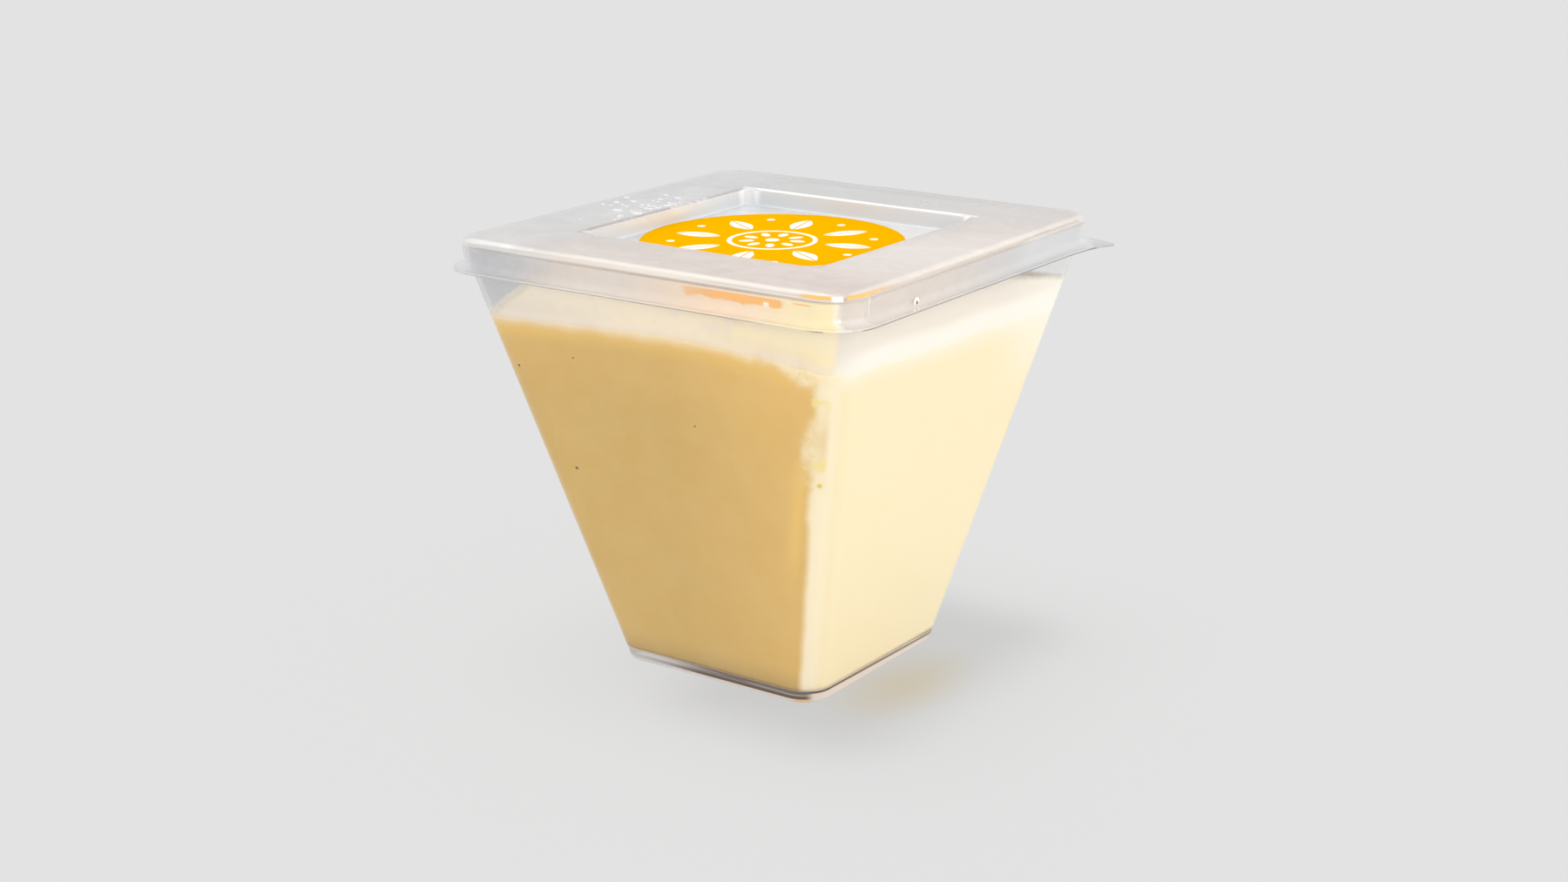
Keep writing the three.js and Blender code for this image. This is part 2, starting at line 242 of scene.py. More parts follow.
class Wire:
    """One socket in a material's nodes. Sums on it add Math nodes, and node() adds a node of any other kind."""

    def __init__(self, tree, socket=None):
        self.tree = tree
        self.socket = socket

    def node(self, kind, inputs=None, output=0, stops=None, **settings):
        """Adds a node: its settings first, then a ramp's stops, then the values or wires of its sockets."""
        made = self.tree.nodes.new(kind)
        for name, value in settings.items():
            setattr(made, name, value)
        for place, (position, tone) in enumerate(stops or ()):
            elements = made.color_ramp.elements
            element = elements[place] if place < len(elements) else elements.new(position)
            element.position = position
            element.color = (*tone, 1.0)
        for name, value in (inputs or {}).items():
            if isinstance(value, Wire):
                self.tree.links.new(value.socket, made.inputs[name])
            else:
                made.inputs[name].default_value = value
        return Wire(self.tree, made.outputs[output])

    def maths(self, operation, first, second=0.0, third=0.0):
        """One Math node."""
        inputs = {0: first, 1: second, 2: third}
        return self.node("ShaderNodeMath", inputs, operation=operation)

    def __add__(self, other):
        return self.maths("ADD", self, other)

    __radd__ = __add__

    def __sub__(self, other):
        return self.maths("SUBTRACT", self, other)

    def __rsub__(self, other):
        return self.maths("SUBTRACT", other, self)

    def __mul__(self, other):
        return self.maths("MULTIPLY", self, other)

    __rmul__ = __mul__

    def __truediv__(self, other):
        return self.maths("DIVIDE", self, other)

    def __rtruediv__(self, other):
        return self.maths("DIVIDE", other, self)

    def __abs__(self):
        return self.maths("ABSOLUTE", self)

    def power(self, exponent):
        return self.maths("POWER", self, exponent)

    def least(self, other):
        return self.maths("MINIMUM", self, other)

    def most(self, other):
        return self.maths("MAXIMUM", self, other)

    def rise(self, low, high):
        """0 below low and 1 above high, with a smooth step between. It falls where low is the larger."""
        inputs = {"Value": self, "From Min": low, "From Max": high}
        return self.node("ShaderNodeMapRange", inputs, interpolation_type="SMOOTHSTEP")

    def between(self, start, end, soft):
        """1 from start to end, fading to 0 over a soft edge on both sides."""
        return self.rise(start - soft, start + soft) * self.rise(end + soft, end - soft)

    def mixed(self, first, second):
        """A colour from first to second by this wire's value."""
        inputs = {0: self, 6: _opaque(first), 7: _opaque(second)}
        return self.node("ShaderNodeMix", inputs, output=2, data_type="RGBA")

    def mixed_value(self, first, second):
        """A number from first to second by this wire's value."""
        inputs = {0: self, 2: first, 3: second}
        return self.node("ShaderNodeMix", inputs, data_type="FLOAT")

    def blend_shaders(self, first, second):
        """A shader from first to second by this wire's value."""
        return self.node("ShaderNodeMixShader", {0: self, 1: first, 2: second})

    def join_output(self, kind):
        """Ends the nodes: joins this shader to the output node of a material or a world."""
        end = self.tree.nodes.new(kind)
        self.tree.links.new(self.socket, end.inputs["Surface"])

    def parts(self):
        """The three numbers of a vector or colour."""
        split = self.tree.nodes.new("ShaderNodeSeparateXYZ")
        self.tree.links.new(self.socket, split.inputs[0])
        return [Wire(self.tree, output) for output in split.outputs]

    def noise(self, scale, detail=2.0, roughness=0.5, distortion=0.0):
        """Noise from 0 to 1 at this place."""
        inputs = {
            "Vector": self, "Scale": scale, "Detail": detail, "Roughness": roughness, "Distortion": distortion
        }
        return self.node("ShaderNodeTexNoise", inputs)

    def bump(self, strength_share, distance):
        """A normal bent by this wire as a height."""
        inputs = {"Strength": strength_share, "Distance": distance, "Height": self}
        return self.node("ShaderNodeBump", inputs)

    def attribute(self, name):
        """A number kept at each point of the piece."""
        return self.node("ShaderNodeAttribute", output="Fac", attribute_name=name)

    def place(self):
        """The place on the piece in metres."""
        return self.node("ShaderNodeTexCoord", output="Object")


def _opaque(value):
    """A plain colour with its alpha of 1, or a wire as it is."""
    return value if isinstance(value, Wire) else (*value, 1.0)


def sheet_gloss(wire):
    """How much a clear sheet mirrors: 0.04 head on and more at a flat angle, alike from both of its faces."""
    facing = wire.node("ShaderNodeLayerWeight", {"Blend": 0.5}, output="Facing")
    return facing.power(5.0) * 0.96 + 0.04


def new_material(name):
    """An empty material and the wire that its nodes are made from."""
    material = bpy.data.materials.new(name)
    material.use_nodes = True
    material.node_tree.nodes.clear()
    return material, Wire(material.node_tree)


def finish_material(material, shader):
    """Joins the shader to the material's output."""
    shader.join_output("ShaderNodeOutputMaterial")
    return material


# Shapes as grids


def ring_steps(corner_steps, side_spots):
    """Steps round a rounded square: the corner's number, the turn in its arc, the share of the side after it."""
    turn = np.concatenate([np.linspace(0, 1, corner_steps + 1), np.ones(len(side_spots))])
    side = np.concatenate([np.zeros(corner_steps + 1), side_spots])
    quarter = np.repeat(np.arange(4), len(turn))
    return quarter, np.tile(turn, 4), np.tile(side, 4)


def side_spots(count, margin=0.01):
    """Shares along a straight side, with one spot close to each end so that the flat stays flat."""
    return np.concatenate([[margin], np.linspace(0, 1, count + 1)[1:-1], [1 - margin]])


def square_rings(half, corner, ring):
    """x and y of rounded squares, one row for each half side. A corner is its centre plus the radius times the
    cosine and sine of the angle, and the side after it runs on along the tangent."""
    quarter, turn, side = ring
    half = np.asarray(half, float)
    radius = np.minimum(np.asarray(corner, float), half)
    half, radius = half.reshape(-1, 1) if half.ndim < 2 else half, radius.reshape(-1, 1) if radius.ndim < 2 else radius
    flat = half - radius
    turned = (quarter + turn) * np.pi / 2
    middle = (quarter + 0.5) * np.pi / 2
    along = 2 * flat * side
    x = flat * np.sign(np.cos(middle)) + radius * np.cos(turned) - along * np.sin(turned)
    y = flat * np.sign(np.sin(middle)) + radius * np.sin(turned) + along * np.cos(turned)
    return x, y


def arc(half, height, radius, start, end, steps=8):
    """Points of an arc in the profile's plane: its centre plus the radius times cosine and sine."""
    turned = np.radians(np.linspace(start, end, steps + 1))
    return np.stack([half + radius * np.cos(turned), height + radius * np.sin(turned)], axis=1)


def line(start, end, count, margin=0.02):
    """Points between two ends, without the ends, and with one close to each of them."""
    shares = np.concatenate([[margin], np.linspace(0, 1, count + 1)[1:-1], [1 - margin]])[:, None]
    return np.asarray(start) * (1 - shares) + np.asarray(end) * shares


def lattice_noise(points, cell, seed):
    """Smooth noise from -1 to 1: random numbers on a cubic lattice, blended along 3t^2 - 2t^3."""
    table = np.random.default_rng(seed).uniform(-1, 1, (32, 32, 32))
    place = np.asarray(points) / cell
    low = np.floor(place).astype(int)
    t = place - low
    t = t * t * (3 - 2 * t)
    total = np.zeros(place.shape[:-1])
    for corner in np.ndindex(2, 2, 2):
        index = (low + corner) % 32
        weight = np.prod(np.where(corner, t, 1 - t), axis=-1)
        total += weight * table[index[..., 0], index[..., 1], index[..., 2]]
    return total


def smooth_step(value, low, high):
    """0 below low, 1 above high and 3t^2 - 2t^3 between."""
    t = np.clip((value - low) / (high - low), 0, 1)
    return t * t * (3 - 2 * t)


def closed_grid(points):
    """Vertices, faces and the kept rows of a rows x steps grid that closes round its rings. The first and last
    row are taken as poles: one vertex each, joined to the next row by triangles."""
    rows, steps = points.shape[:2]
    body = points[1:-1].reshape(-1, 3)
    vertices = np.concatenate([points[0, :1], body, points[-1, :1]])
    here = np.arange(steps)
    after = (here + 1) % steps
    start = 1 + np.arange(rows - 3)[:, None] * steps
    quads = np.stack([start + here, start + after, start + steps + after, start + steps + here], axis=-1)
    last = len(vertices) - 1
    top = 1 + (rows - 3) * steps
    first_fan = np.stack([np.zeros(steps, int), 1 + after, 1 + here], axis=-1)
    last_fan = np.stack([top + here, top + after, np.full(steps, last)], axis=-1)
    return vertices, [quads.reshape(-1, 4), first_fan, last_fan]


def looped_grid(points):
    """Vertices and faces of a rows x steps grid that closes both round its rings and from its last row to its
    first, such as a closed band."""
    rows, steps = points.shape[:2]
    here = np.arange(steps)
    after = (here + 1) % steps
    row = np.arange(rows)[:, None] * steps
    next_row = (np.arange(rows)[:, None] + 1) % rows * steps
    quads = np.stack([row + here, row + after, next_row + after, next_row + here], axis=-1)
    return points.reshape(-1, 3), [quads.reshape(-1, 4)]


def pole_values(values):
    """Values of a rows x steps grid in the order of closed_grid's vertices."""
    return np.concatenate([values[0, :1], values[1:-1].ravel(), values[-1, :1]])


def new_piece(name, vertices, face_groups, materials, attributes=None, face_materials=None, smooth=True):
    """Makes a mesh object from arrays of vertices and of faces, with numbers kept at its points."""
    mesh = bpy.data.meshes.new(name)
    mesh.from_pydata(vertices.tolist(), [], [face for group in face_groups for face in group.tolist()])
    for label, values in (attributes or {}).items():
        mesh.attributes.new(label, "FLOAT", "POINT").data.foreach_set("value", values.astype(np.float32))
    for material in materials:
        mesh.materials.append(material)
    mesh.polygons.foreach_set("use_smooth", np.full(len(mesh.polygons), smooth))
    if face_materials is not None:
        mesh.polygons.foreach_set("material_index", face_materials.astype(np.int32))
    mesh.update()
    made = bpy.data.objects.new(name, mesh)
    bpy.context.scene.collection.objects.link(made)
    return made


def settle(made, slot, *replaced):
    """Puts a piece on the body and hides the frame's nodes that it stands for. The slot is not used."""
    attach(made, BODY)
    if replaced:
        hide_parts(*replaced)
    return made


# The clear cup


def cup_half(cup, z):
    """Half the cup's outer side at a height, straight from the foot to the mouth."""
    return (cup.base_side + (cup.mouth_side - cup.base_side) * z / cup.mouth_height) / 2


def cup_corner(cup, z):
    """The cup's outer corner radius at a height."""
    return cup.base_corner + (cup.mouth_corner - cup.base_corner) * z / cup.mouth_height


CUP_FOOT_ROUND = 0.4 * MM
CUP_FLOOR_FILLET = 1.2 * MM
COLLAR_WALL = 1.0 * MM
RIM_ROUND = 0.5 * MM
RIM_INNER_ROUND = 0.3 * MM


def cup_profile(cup):
    """Half side, corner radius, height and side of each row: 0 on the outside and 1 on the inside."""
    collar = COLLAR_SIDE / 2
    foot = arc(cup_half(cup, CUP_FOOT_ROUND) - CUP_FOOT_ROUND, CUP_FOOT_ROUND, CUP_FOOT_ROUND, -90, 0)
    mouth = (cup_half(cup, cup.mouth_height), cup.mouth_height)
    collar_foot = (collar, cup.collar_start)
    rim = arc(collar - RIM_ROUND, CUP_HEIGHT - RIM_ROUND, RIM_ROUND, 0, 90)
    inner = collar - COLLAR_WALL
    inner_rim = arc(inner + RIM_INNER_ROUND, CUP_HEIGHT - RIM_INNER_ROUND, RIM_INNER_ROUND, 90, 180, 5)
    inner_collar_foot = (inner, cup.collar_start)
    inner_mouth_z = cup.mouth_height - cup.wall
    inner_mouth = (cup_half(cup, inner_mouth_z) - cup.wall, inner_mouth_z)
    fillet_z = cup.floor + CUP_FLOOR_FILLET
    fillet_half = cup_half(cup, fillet_z) - cup.wall - CUP_FLOOR_FILLET
    fillet = arc(fillet_half, fillet_z, CUP_FLOOR_FILLET, 0, -90)
    outside = [
        [(0, 0)],
        line((0, 0), foot[0], 3),
        foot,
        line(foot[-1], mouth, 40, 0.005),
        [mouth],
        line(mouth, collar_foot, 2, 0.2),
        [collar_foot],
        line(collar_foot, rim[0], 3),
        rim,
    ]
    inside = [
        inner_rim,
        line(inner_rim[-1], inner_collar_foot, 3),
        [inner_collar_foot],
        line(inner_collar_foot, inner_mouth, 2, 0.2),
        [inner_mouth],
        line(inner_mouth, fillet[0], 40, 0.005),
        fillet,
        line(fillet[-1], (0, cup.floor), 3),
        [(0, cup.floor)],
    ]
    outer_rows = np.concatenate([np.atleast_2d(part) for part in outside])
    inner_rows = np.concatenate([np.atleast_2d(part) for part in inside])
    rows = np.concatenate([outer_rows, inner_rows])
    half, z = rows[:, 0], rows[:, 1]
    is_inside = np.concatenate([np.zeros(len(outer_rows)), np.ones(len(inner_rows))])
    corner = np.clip(cup_corner(cup, z) + half - cup_half(cup, z), 0.4 * MM, None)
    return half, np.where(z > cup.mouth_height, cup.mouth_corner + half - collar, corner), z, is_inside


def clear_plastic(cup):
    """Clear moulded plastic that bends light, with painted shade lines, a painted light rim and a painted warm glow
    round its thick foot, standing in for what its refraction shows.
    """
    material, wire = new_material("clear_cup_plastic")
    place = wire.place()
    x, y, z = place.parts()
    ripple = place.noise(90, 2.0) * 0.7 + place.noise(420, 2.0) * 0.3
    glass = wire.node(
        "ShaderNodeBsdfPrincipled",
        {
            "Base Color": (*cup.tint, 1.0),
            "Roughness": ripple.rise(0.2, 0.9) * 0.05 + 0.01,
            "IOR": 1.5,
            "Transmission Weight": 1.0,
            "Normal": ripple.bump(0.06, 0.2 * MM),
        },
    )
    open_way = wire.node("ShaderNodeBsdfTransparent", {"Color": (1.0, 1.0, 1.0, 1.0)})
    lamp_ray = wire.node("ShaderNodeLightPath", output="Is Shadow Ray")
    scattered_ray = wire.node("ShaderNodeLightPath", output="Is Diffuse Ray")
    clear = lamp_ray.most(scattered_ray).blend_shaders(glass, open_way)
    outside = 1.0 - wire.attribute("inside")
    bright_side = (x + y).rise(-1.2 * MM, 1.2 * MM)

    # The deeper toned faces: two painted shade lines with a paler slit between, fading towards the left end
    low_line = z.between(0.62 * MM, 1.35 * MM, 0.1 * MM) * (x.rise(-20 * MM, 0.0) * 0.75 + 0.2)
    high_line = z.between(1.35 * MM, 2.3 * MM, 0.15 * MM) * x.rise(-13 * MM, 1 * MM) * 0.85
    slit_height = 1.78 * MM - x * 0.018
    slit = (z - slit_height).between(-0.08 * MM, 0.08 * MM, 0.14 * MM) * (1.0 - x.between(2 * MM, 8 * MM, 2 * MM))
    deep_shade_lines = low_line.most(high_line) * (1.0 - slit * 0.5)
    deep_cover = z.rise(2.5 * MM, 2.2 * MM) * (x.rise(-12 * MM, -2 * MM) * 0.2 + 0.75)

    # The bright faces: one painted brown shade line over a painted light rim
    line_height = 1.62 * MM - y * 0.02
    bright_shade_line = (z - line_height).between(-0.24 * MM, 0.26 * MM, 0.15 * MM) * (y.rise(24 * MM, -20 * MM) * 0.25 + 0.7)
    bright_cover = (z - line_height).rise(0.7 * MM, 0.1 * MM)

    dark = bright_side.mixed_value(deep_shade_lines, bright_shade_line)
    rim_mark = (z.rise(0.8 * MM, 0.5 * MM) * x.rise(-18 * MM, 6 * MM)).most(bright_side)
    tone = rim_mark.mixed(cup.foot_haze, cup.foot_light_rim)
    # A warm glow painted on the rim at the front corner
    corner_glow = abs(x + y + 1.5 * MM).rise(3 * MM, 1 * MM) * x.rise(0.0, 5 * MM) * z.rise(1.0 * MM, 0.7 * MM)
    tone = (corner_glow * 0.8).mixed(tone, cup.foot_painted_glow)
    tone = dark.mixed(tone, cup.foot_shade_line)
    foot = wire.node(
        "ShaderNodeBsdfPrincipled", {"Base Color": tone, "Roughness": 0.35, "Specular IOR Level": 0.15}
    )
    painted = bright_side.mixed_value(deep_cover, bright_cover) * outside
    return finish_material(material, painted.blend_shaders(clear, foot))


class DESSERT_OT_build_cup(bpy.types.Operator):
    """Builds the clear tapered cup with its collar"""

    bl_idname = "dessert.build_cup"
    bl_label = "Build the cup"

    def execute(self, context):
        cup = context.scene.dessert_cup
        half, corner, z, is_inside = cup_profile(cup)
        ring = ring_steps(14, side_spots(24))
        x, y = square_rings(half, corner, ring)
        points = np.stack([x, y, np.broadcast_to(z[:, None], x.shape)], axis=-1)
        vertices, faces = closed_grid(points)
        inside = pole_values(np.broadcast_to(is_inside[:, None], x.shape))
        made = new_piece("cup_shell", vertices, faces, [clear_plastic(cup)], {"inside": inside})
        settle(made, "clear_cup", "cup")
        return {"FINISHED"}


# The ice cream

FILL_SLOPE = (-0.005, -0.0245)
FILL_BULGE = (2.2 * MM, (1 * MM, -37 * MM), (24 * MM, 22 * MM))
FILL_WAVES = (
    (0.15 * MM, (110, 50), 0.6),
    (0.12 * MM, (-70, 160), 2.1),
    (0.1 * MM, (310, -220), 4.0),
)
ICE_WALL_ROWS = 100
ICE_TOP_ROWS = 46
FROTH_DEPTH = 0.06 * MM


def fill_level(ice, x, y):
    """Height of the ice cream's top: a slope, a bulge at the front wall and three low sine waves."""
    height, centre, spread = FILL_BULGE
    away = ((x - centre[0]) / spread[0]) ** 2 + ((y - centre[1]) / spread[1]) ** 2
    z = ice.fill_height + FILL_SLOPE[0] * x + FILL_SLOPE[1] * y + height * np.exp(-away)
    for height, along, start in FILL_WAVES:
        z = z + height * np.sin(along[0] * x + along[1] * y + start)
    return z


def froth_amount(points, fill):
    """How airy the ice cream is at its wall, from 0 to 1: a ragged rim under the fill near the front corner, and a
    narrow band down that corner, both broken up by noise."""
    x, y, z = points[..., 0], points[..., 1], points[..., 2]
    coarse = lattice_noise(points, 6 * MM, 3)
    fine = lattice_noise(points, 1.8 * MM, 4)
    diagonal = x + y
    near_corner = smooth_step(-np.abs(diagonal + 2.5 * MM), -12 * MM, -2 * MM) * (x > 0)
    bright_side = smooth_step(diagonal, -2 * MM, 4 * MM)
    rim_depth = (-0.6 + 4.2 * near_corner * (1 - 0.7 * bright_side)) * MM
    rim = smooth_step(rim_depth + (0.6 * coarse + 0.4 * fine) * MM - (fill - z), -1.1 * MM, 0.9 * MM)
    band_width = (2.1 + 1.2 * coarse + 0.9 * fine) * MM
    band = smooth_step(band_width - np.abs(diagonal + 2.6 * MM), -1.2 * MM, 1.2 * MM) * (x > 0)
    band = band * smooth_step(z, 41 * MM, 49 * MM) * (0.65 + 0.35 * fine)
    return np.clip(np.maximum(rim, band), 0, 1)


def ice_cream_grid(cup, ice):
    """Rows of the ice cream from the middle of its underside, up the wall and over the top to the middle. The
    wall keeps its depth behind the cup's face, and the top is the fill level plus noise."""
    ring = ring_steps(14, side_spots(40))
    depth = cup.wall - ice.contact
    bottom = cup.floor - ice.contact
    fillet_z = bottom + CUP_FLOOR_FILLET
    fillet_half = cup_half(cup, fillet_z) - depth - CUP_FLOOR_FILLET
    fillet = arc(fillet_half, fillet_z, CUP_FLOOR_FILLET, -90, 0, 6)
    base_rows = np.concatenate([[(0, bottom)], line((0, bottom), fillet[0], 3), fillet])
    base_corner = np.clip(
        cup_corner(cup, base_rows[:, 1]) + base_rows[:, 0] - cup_half(cup, base_rows[:, 1]), 0.3 * MM, None
    )
    base_x, base_y = square_rings(base_rows[:, 0], base_corner, ring)
    base_z = np.broadcast_to(base_rows[:, 1][:, None], base_x.shape)

    # The wall: each step of the ring has its own upper edge, a little under the fill level there
    edge_half = cup_half(cup, ice.fill_height) - depth
    edge_x, edge_y = square_rings([edge_half], [cup_corner(cup, ice.fill_height) - depth], ring)
    edge_place = np.stack([edge_x, edge_y, edge_x * 0], axis=-1)
    edge_z = fill_level(ice, edge_x, edge_y) - ice.edge_round + 0.3 * MM * lattice_noise(edge_place, 3 * MM, 8)
    share_up = np.linspace(0, 1, ICE_WALL_ROWS + 1)[1:, None]
    wall_z = fillet_z + (edge_z - fillet_z) * share_up
    wall_half = cup_half(cup, wall_z) - depth
    wall_corner = cup_corner(cup, wall_z) - depth
    wall_x, wall_y = square_rings(wall_half, wall_corner, ring)
    wall = np.stack([wall_x, wall_y, wall_z], axis=-1)
    froth = froth_amount(wall, edge_z + ice.edge_round)
    pits = smooth_step(lattice_noise(wall, 1.6 * MM, 5) + 0.5 * lattice_noise(wall, 0.8 * MM, 6), 0.1, 0.9)
    inset = froth * (0.15 + 0.85 * pits) * FROTH_DEPTH
    wall_x, wall_y = square_rings(wall_half - inset, wall_corner - inset, ring)

    # The rounded edge and the top
    turned = np.radians(np.linspace(0, 90, 6))[1:, None]
    round_depth = depth + inset[-1] + ice.edge_round * (1 - np.cos(turned))
    round_z = edge_z + ice.edge_round * np.sin(turned)
    round_x, round_y = square_rings(cup_half(cup, edge_z) - round_depth, cup_corner(cup, edge_z) - round_depth, ring)
    top_share = np.linspace(1, 0, ICE_TOP_ROWS + 1)[1:, None]
    top_x = round_x[-1] * top_share
    top_y = round_y[-1] * top_share
    top_place = np.stack([top_x, top_y, top_x * 0], axis=-1)
    ripple = 0.35 * lattice_noise(top_place, 9 * MM, 11) + 0.12 * lattice_noise(top_place, 3.2 * MM, 12)
    rim_fade = smooth_step(1 - top_share, 0, 0.08)
    top_z = fill_level(ice, top_x, top_y) + (round_z[-1] - fill_level(ice, round_x[-1], round_y[-1])) * (
        1 - rim_fade
    ) + ripple * MM * rim_fade
    rows_x = np.concatenate([base_x, wall_x, round_x, top_x])
    rows_y = np.concatenate([base_y, wall_y, round_y, top_y])
    rows_z = np.concatenate([base_z, wall_z, round_z, top_z])
    rows_froth = np.concatenate([base_x * 0, froth, np.ones_like(round_x), np.ones_like(top_x)])
    on_wall = np.concatenate([base_x * 0, np.ones_like(froth), round_x * 0, top_x * 0])
    over = (rows_z - fill_level(ice, rows_x, rows_y)) / MM
    return np.stack([rows_x, rows_y, rows_z], axis=-1), {"froth": rows_froth, "wall": on_wall, "over_fill": over}


def wall_tone(wire, ice):
    """Tone seen through the cup's wall, the same on the ice cream and on its smears so that they meet without an
    edge. The -X and -Y faces are painted tan, part the ice cream's own tone and part painted shade. By the height
    over the fill, tan turns into smears on these deeper toned faces, and cream into a bright rim and then a veil on
    the others. Also gives the share of the deeper toned faces."""
    place = wire.place()
    x, y, z = place.parts()
    over = wire.attribute("over_fill")
    cloud = place.noise(55, 3.0, 0.55)
    patch = place.noise(170, 4.0, 0.6, 0.3)
    grain = place.noise(1500, 3.0, 0.6)
    mottle = patch.rise(0.3, 0.75) * 0.06 + grain.rise(0.3, 0.8) * 0.03
    near_corner = x.rise(10 * MM, 24 * MM)
    uneven = (cloud - 0.5) * 2.4 + (patch - 0.5) * (near_corner * 3.4 + 0.8)

    # The deeper toned faces, -X and -Y: tan, part the ice cream's own colour and part painted shade
    warm = x.rise(-4 * MM, 28 * MM) * 0.68 + z.rise(48 * MM, 61 * MM) * 0.25 + (cloud - 0.5) * 0.4
    tan = warm.mixed(ice.tan, ice.warm_tan)
    tan = (z.rise(7 * MM, 2.6 * MM) * 0.3).mixed(tan, ice.dark_tan)
    left_edge = (x + z * 0.25).rise(-17 * MM, -27 * MM)
    tan = (mottle + left_edge * 0.12).mixed(tan, ice.cream)
    tan = (over.rise(-5.0, -1.2) * 0.55).mixed(tan, ice.tan_rim)
    seam = (x + y + 5.2 * MM).between(-1.2 * MM, 1.2 * MM, 1.6 * MM) * z.between(27 * MM, 46 * MM, 4 * MM)
    tan = (seam * x.rise(0.0, 5 * MM) * 0.6).mixed(tan, ice.tan_rim)
    smears = x.rise(-28 * MM, 8 * MM).mixed(ice.smear_left, ice.smear_middle)
    smears = x.rise(8 * MM, 20 * MM).mixed(smears, ice.smear_right)
    dull = over.rise(3.4, 1.4) * near_corner * x.rise(34 * MM, 28 * MM)
    smears = (dull * 0.7).mixed(smears, screen(240, 221, 194))
    smears = (patch.rise(0.4, 0.62) * x.rise(-30 * MM, -10 * MM) * 0.3).mixed(smears, screen(254, 238, 204))
    # Painted light: the smears turn paler towards the top, making up for the shade under the lid's lip
    smears = (z.rise(65 * MM, 70 * MM) * 0.45).mixed(smears, screen(255, 246, 226))
    shaded_tone = (over + uneven - x.rise(-14 * MM, -26 * MM) * 0.7).rise(-2.7, 0.6).mixed(tan, smears)

    # The bright faces: the cream grows lighter towards the fill, over a longer way at the far end
    lifted = over + y.rise(-26 * MM, -37 * MM) * 1.7 + (cloud - 0.5) * 1.6
    reach = y.rise(-36 * MM, 30 * MM) * 2.0 + 4.0
    bright = lifted.rise(0.0 - reach, 1.8).mixed(ice.cream, ice.bright_rim)
    veil_start = y.rise(-36 * MM, -10 * MM) * 0.9 + 1.2
    bright = (lifted - veil_start).rise(0.0, 2.4).mixed(bright, ice.veil)
    far_end = x.rise(20 * MM, 30 * MM) * y.rise(10 * MM, 36 * MM) * z.rise(44 * MM, 58 * MM)
    bright = (far_end * 0.75).mixed(bright, screen(245, 241, 228))
    # A pale band down the front corner: part froth, part painted light where the rounded corner turns towards the side
    # lamp
    corner_froth_and_light = abs(x + y + 0.6 * MM).rise(3.2 * MM, 0.8 * MM) * x.rise(0.0, 5 * MM) * over.rise(2.0, -1.0)
    bright = (corner_froth_and_light * 0.6 + mottle).mixed(bright, ice.pale_cream)
    yellowed = (x + y).rise(0.4 * MM, -1.6 * MM) * x.rise(0.0, 5 * MM) * z.between(46 * MM, 55 * MM, 5 * MM)
    bright = (yellowed * (patch.rise(0.3, 0.6) * 0.5 + 0.3)).mixed(bright, screen(224, 194, 132))

    # Where they meet: ragged below the fill, and straight up the front corner over it
    ragged = over.rise(0.5, -3.0)
    shift = (1.0 - ragged) * (3.0 * MM) + z.rise(40 * MM, 8 * MM) * (1.2 * MM)
    rough = (cloud - 0.5) * (2.0 * MM) + (patch - 0.5) * (3.2 * MM) * z.rise(28 * MM, 46 * MM)
    shaded_faces = (x + y - shift + rough * ragged).rise(-2.2 * MM, -4.2 * MM)
    return shaded_faces.mixed(bright, shaded_tone), shaded_faces


def ice_cream_material(ice):
    """Smooth pale ice cream: cream on two faces and a deeper tan on the others, part its own colour and part painted
    shade, with a frothy rim and small blobs.
    """
    material, wire = new_material("passion_fruit_ice_cream")
    place = wire.place()
    x, y, z = place.parts()
    froth = wire.attribute("froth")
    cloud = place.noise(55, 3.0, 0.55)
    patch = place.noise(170, 4.0, 0.6, 0.3)
    grain = place.noise(1500, 3.0, 0.6)
    tiny = place.noise(700, 3.0, 0.6)
    body, _ = wall_tone(wire, ice)
    airy = froth * (patch.rise(0.3, 0.6) * 0.5 + tiny.rise(0.35, 0.65) * 0.35 + 0.1)
    body = airy.mixed(body, ice.froth)
    at_corner = abs(x + y + 2 * MM).rise(5.0 * MM, 3.5 * MM) * z.between(42 * MM, 60 * MM, 1 * MM)
    blob = place.noise(420, 1.5, 0.4).rise(0.54, 0.66) * at_corner * froth.rise(0.02, 0.3)
    body = (blob * wire.attribute("wall") * 0.75).mixed(body, ice.pulp)
    on_top = wire.attribute("over_fill").rise(-0.5, -0.2) * (1.0 - wire.attribute("wall"))
    body = on_top.mixed(body, ice.froth)
    height = patch * 0.5 + grain * 0.25 + cloud * 0.6
    shader = wire.node(
        "ShaderNodeBsdfPrincipled",
        {
            "Base Color": body,
            "Roughness": froth * 0.2 + 0.5,
            "Specular IOR Level": 0.1,
            "Normal": height.bump(0.2, 0.3 * MM),
        },
    )
    return finish_material(material, shader)


class DESSERT_OT_build_ice_cream(bpy.types.Operator):
    """Builds the ice cream that fills the cup"""

    bl_idname = "dessert.build_ice_cream"
    bl_label = "Build the ice cream"

    def execute(self, context):
        ice = context.scene.dessert_ice_cream
        points, kept = ice_cream_grid(context.scene.dessert_cup, ice)
        vertices, faces = closed_grid(points)
        kept = {label: pole_values(values) for label, values in kept.items()}
        made = new_piece("ice_cream_fill", vertices, faces, [ice_cream_material(ice)], kept)
        settle(made, "ice_cream", "ice_cream")
        return {"FINISHED"}


# The film of ice cream and frost on the wall above the fill

FILM_BOTTOM = 57 * MM
FILM_TOP = 74.6 * MM
FILM_INTO_WALL = 0.05 * MM
FILM_THICKNESS = 0.12 * MM
FILM_ROWS = 60


def inner_half(cup, z):
    """Half the cup's inner side at a height: the tapered wall, the short step and the upright collar."""
    mouth_z = cup.mouth_height - cup.wall
    mouth = cup_half(cup, mouth_z) - cup.wall
    collar = COLLAR_SIDE / 2 - COLLAR_WALL
    step = np.interp(z, [mouth_z, cup.collar_start], [mouth, collar])
    return np.where(z < mouth_z, cup_half(cup, z) - cup.wall, step)


